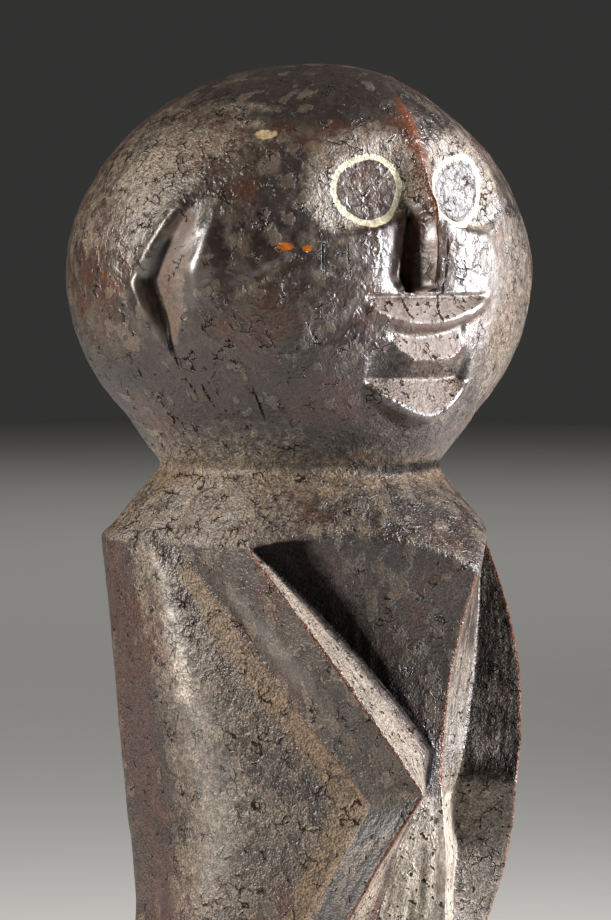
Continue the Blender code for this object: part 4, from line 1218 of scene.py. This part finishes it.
def worn_dark_hardwood(name):
    """Dark hardwood, cut with adze and knife, then oiled, smoked and handled to a satin gloss.

    A thin skin of smoke and oil lies on it in crisp flakes; dust fills the cuts, the arrises are
    worn to bare red wood, and lines of cream clay ring the eyes.
    """
    material = bpy.data.materials.new(name)
    material.use_nodes = True
    tree = material.node_tree
    tree.nodes.clear()
    place = add(tree, "ShaderNodeTexCoord", out="Object")
    mask = {key: add(tree, "ShaderNodeAttribute", out="Fac", attribute_name=key) for key in MASKS}
    cut_way = add(tree, "ShaderNodeAttribute", out="Vector", attribute_name="cut_way")
    patterns = wood_patterns(tree, place, cut_way)
    speck, mottle, patch, broad, fibre = (
        patterns[key] for key in ("speck", "mottle", "patch", "broad", "fibre"))
    stroke, curl = open_plates(tree, place, mask["crust"])
    ragged = {key: add(tree, "ShaderNodeMath", {0: patterns[noise], 1: amount, 2: mask[key]},
                       operation="MULTIPLY_ADD") for key, noise, amount in RAGGED}
    line, inner = ring_strokes(tree, ragged["ring"], mask["ring"], patch)
    film = add(tree, "ShaderNodeMapRange", {0: ragged["flake"], 1: FILM_EDGE - 0.012,
                                            2: FILM_EDGE + 0.012})
    # Black line round each flake of skin: painted shadow of its raised edge
    rim = add(tree, "ShaderNodeMath", {0: ragged["flake"], 1: FILM_EDGE, 2: 0.02},
              operation="COMPARE")
    porous = add(tree, "ShaderNodeMath", {0: mask["tan"], 1: mask["pale"]}, operation="MAXIMUM")
    pits = add(tree, "ShaderNodeMath", {0: porous, 1: 0.10, 2: mottle}, operation="MULTIPLY_ADD")
    # Places that swallow the light: pattern, where it starts and where it is full
    open_crack = (stroke, 0.2, 1.0)
    drying_crack = (ragged["crack"], 0.68, 0.52)
    pit = (pits, 0.71, 0.74)
    painted_shade = (ragged["painted_shade"], 0.62, 0.95)
    # Coats from the wood up: pattern, where it starts and is full, cover, colour, roughness
    skin, gloss = coated(tree, (
        (broad, 0.47, 0.60, 0.85, "#1a1412", 0.33),
        (broad, 0.48, 0.39, 0.60, "#45281d", 0.32),
        (patch, 0.46, 0.62, 0.70, "#55493f", 0.42),
        # Dark coat: darker wood, and painted shade on the near breast and round the neck
        (ragged["dark"], 0.9, 1.5, 0.80, "#1b1614", 0.46),
        (ragged["red"], 1.0, 1.7, 0.70, "#3a2018", 0.40),
        (ragged["hollow"], 0.75, 1.2, 0.50, "#6b5c4a", 0.70),
        (film, 0.1, 0.9, 0.45, "#5a4e41", 0.42),
        (ragged["crust"], 0.80, 1.9, 0.80, "#756a5c", 0.60),
        (ragged["ochre"], 0.95, 1.5, 0.85, "#5b4933", 0.55),
        # Painted shadow round the flakes' edges
        (rim, 0.5, 1.0, 0.75, "#0d0a09", 0.60),
        (ragged["earth"], 0.75, 1.35, 0.85, "#4c3b30", 0.80),
        (ragged["tan"], 0.75, 1.40, 0.90, "#5b4c40", 0.70),
        (ragged["pale"], 1.28, 1.72, 0.92, "#756958", 0.70),
        # Cream coat: pale belly fibre with painted highlight on it, and painted highlight on the flank's
        # swell
        (ragged["cream"], 1.50, 1.85, 0.80, "#9d9385", 0.34),
        (*pit, 0.92, "#0d0a08", 0.70),
        # Near-black painted shade in the deep cuts and under edges
        (*painted_shade, 0.94, "#0a0807", 0.55),
        (ragged["clay"], 0.95, 1.25, 0.85, "#94815a", 0.70),
        (ragged["knot"], 0.7, 0.9, 0.95, "#8c4a12", 0.25),
        (ragged["wear"], 1.7, 1.0, 0.75, "#5c3118", 0.28),
        (inner, 0.70, 0.60, 0.90, "#0a0807", 0.60),
        (*open_crack, 0.85, "#120d0b", 0.70),
        (line, 0.78, 0.58, 0.85, "#bab296", 0.60),
        (*drying_crack, 0.85, "#0b0807", 0.70),
    ))
    specular = swallowed_light(tree, (open_crack, drying_crack, pit, painted_shade))
    handled = add(tree, "ShaderNodeMapRange", {0: ragged["polish"], 1: 0.6, 2: 1.2, 4: 0.8})
    gloss = add(tree, "ShaderNodeMix", {0: handled, 2: gloss, 3: POLISH_ROUGHNESS})
    oiled = add(tree, "ShaderNodeMapRange", {0: ragged["polish"], 1: 0.7, 2: 1.2, 4: 0.9})
    # Grain over the colour: pattern, strength, its range, and how dark and light it makes the skin
    for pattern, strength, low, high, dark, light in (
            (speck, mask["grit"], 0.36, 0.64, 0.35, 1.55), (mottle, 1.0, 0.34, 0.66, 0.75, 1.20)):
        grain = add(tree, "ShaderNodeMapRange", {0: pattern, 1: low, 2: high, 3: dark, 4: light})
        skin = add(tree, "ShaderNodeMix", {0: strength, 6: skin, 7: grain}, out=2,
                   data_type="RGBA", blend_type="MULTIPLY")
    gritty = add(tree, "ShaderNodeMath", {0: speck, 1: mask["grit"]}, operation="MULTIPLY")
    fibrous = add(tree, "ShaderNodeMath", {0: fibre, 1: mask["pale"]}, operation="MULTIPLY")
    # Layers of fine relief: pattern, where it starts and is full, height
    carved = fine_relief(tree, (
        (film, 0.0, 1.0, 0.12),
        (gritty, 0.2, 0.7, 0.14),
        (mottle, 0.3, 0.7, 0.10),
        (patch, 0.3, 0.7, 0.18),
        (fibrous, 0.0, 1.0, 0.30),
        (curl, 0.0, 1.0, 0.11),
        (stroke, 0.0, 1.0, -0.24),
        (ragged["crack"], 0.68, 0.5, -0.3),
    ), mask["even"])
    shader = add(tree, "ShaderNodeBsdfPrincipled", {
        "Base Color": skin, "Roughness": gloss, "Normal": carved, "IOR": 1.5,
        "Specular IOR Level": specular, "Coat Weight": oiled, "Coat Roughness": OIL_ROUGHNESS})
    add(tree, "ShaderNodeOutputMaterial", {"Surface": shader})
    return material


# The photograph's view: bearing of the camera and its rise
VIEW_BEARING = math.radians(-46.0)
VIEW_RISE = math.radians(3.0)
LENS = 180.0
SENSOR = 36.0
# The photograph in pixels: size of one in metres, its height and middle, and where the figure's
# axis and the base's underside fall
PIXEL = 0.00024
PHOTO_HEIGHT = 920
PHOTO_MIDDLE = (305.5, 460.0)
FIGURE_AXIS = 320.0
FIGURE_FOOT = 1399.0

# Studio: floor's half size, height the softboxes aim at, metres; spread of their beams, degrees
FLOOR_HALF = 4.0
CHEST_HEIGHT = 0.22
SOFTBOX_SPREAD = 120.0
# Light over the floor: watts, size, spread, and how far behind and above the figure
FLOOR_WATTS = 8.0
FLOOR_LIGHT_SIZE = 2.5
FLOOR_SPREAD = 100.0
FLOOR_LIGHT_BEHIND = 2.6
FLOOR_LIGHT_HEIGHT = 2.0
SKY_STRENGTH = 0.045


def pale_floor():
    """Pale plain studio floor under the figure, in matt paint that gives back no gloss."""
    mesh = bpy.data.meshes.new("studio_floor")
    mesh.from_pydata([(FLOOR_HALF * x, FLOOR_HALF * y, 0.0)
                      for x, y in ((-1, -1), (1, -1), (1, 1), (-1, 1))], [], [(0, 1, 2, 3)])
    floor = bpy.data.objects.new("studio_floor", mesh)
    material = bpy.data.materials.new("matt_pale_floor")
    material.use_nodes = True
    shader = material.node_tree.nodes["Principled BSDF"]
    shader.inputs["Base Color"].default_value = srgb("#d9d7d2")
    shader.inputs["Roughness"].default_value = 0.9
    mesh.materials.append(material)
    bpy.context.scene.collection.objects.link(floor)


def toward(bearing, rise):
    """Unit vector from the figure towards a bearing (0 is the front) and a rise."""
    return np.array([math.sin(bearing) * math.cos(rise), -math.cos(bearing) * math.cos(rise),
                     math.sin(rise)])


def set_camera():
    """The camera on the photograph's bearing, framed as the photograph is."""
    data = bpy.data.cameras.new("camera")
    data.lens = LENS
    data.sensor_width = SENSOR
    camera = bpy.data.objects.new("camera", data)
    bpy.context.scene.collection.objects.link(camera)
    across = np.array([math.cos(VIEW_BEARING), math.sin(VIEW_BEARING), 0.0])
    aim = across * (PHOTO_MIDDLE[0] - FIGURE_AXIS) * PIXEL
    aim = aim + np.array([0.0, 0.0, (FIGURE_FOOT - PHOTO_MIDDLE[1]) * PIXEL])
    away = toward(VIEW_BEARING, VIEW_RISE)
    camera.location = aim + away * (PHOTO_HEIGHT * PIXEL * LENS / SENSOR)
    camera.rotation_euler = (0.5 * math.pi - VIEW_RISE, 0.0, VIEW_BEARING)
    bpy.context.scene.camera = camera


def softbox(name, bearing, rise, distance, size, watts, tint):
    """Tall soft light aimed at the figure's chest, its bearing counted from the camera's."""
    data = bpy.data.lights.new(name, "AREA")
    data.shape = "RECTANGLE"
    data.size, data.size_y = size
    data.energy = watts
    data.color = srgb(tint)[:3]
    data.spread = math.radians(SOFTBOX_SPREAD)
    lamp = bpy.data.objects.new(name, data)
    way = toward(VIEW_BEARING + math.radians(bearing), math.radians(rise))
    lamp.location = way * distance + np.array([0.0, 0.0, CHEST_HEIGHT])
    lamp.rotation_euler = (0.5 * math.pi - math.radians(rise), 0.0,
                           VIEW_BEARING + math.radians(bearing))
    bpy.context.scene.collection.objects.link(lamp)


def floor_softbox():
    """Soft light straight down on the floor behind the figure."""
    data = bpy.data.lights.new("floor_softbox", "AREA")
    data.size = FLOOR_LIGHT_SIZE
    data.energy = FLOOR_WATTS
    data.spread = math.radians(FLOOR_SPREAD)
    lamp = bpy.data.objects.new("floor_softbox", data)
    away = toward(VIEW_BEARING + math.pi, 0.0)
    lamp.location = away * FLOOR_LIGHT_BEHIND + np.array([0.0, 0.0, FLOOR_LIGHT_HEIGHT])
    bpy.context.scene.collection.objects.link(lamp)


def set_light():
    """A warm softbox on the left, a cooler one on the right, one over the floor, and a dim sky."""
    softbox("left_softbox", -66.0, 20.0, 1.0, (0.20, 0.7), 10.0, "#fffaf4")
    softbox("right_softbox", 86.0, 12.0, 1.0, (0.14, 0.7), 23.0, "#fafaff")
    floor_softbox()
    world = bpy.data.worlds.new("studio")
    world.use_nodes = True
    sky = world.node_tree.nodes["Background"]
    sky.inputs["Color"].default_value = srgb("#dcdcda")
    sky.inputs["Strength"].default_value = SKY_STRENGTH
    bpy.context.scene.world = world
    bpy.context.scene.view_settings.view_transform = "Standard"


figure = carve_figure()
figure.data.materials.clear()
figure.data.materials.append(worn_dark_hardwood("worn_carved_hardwood"))
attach(figure, "root")
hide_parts("carved_figure")
pale_floor()
set_camera()
set_light()
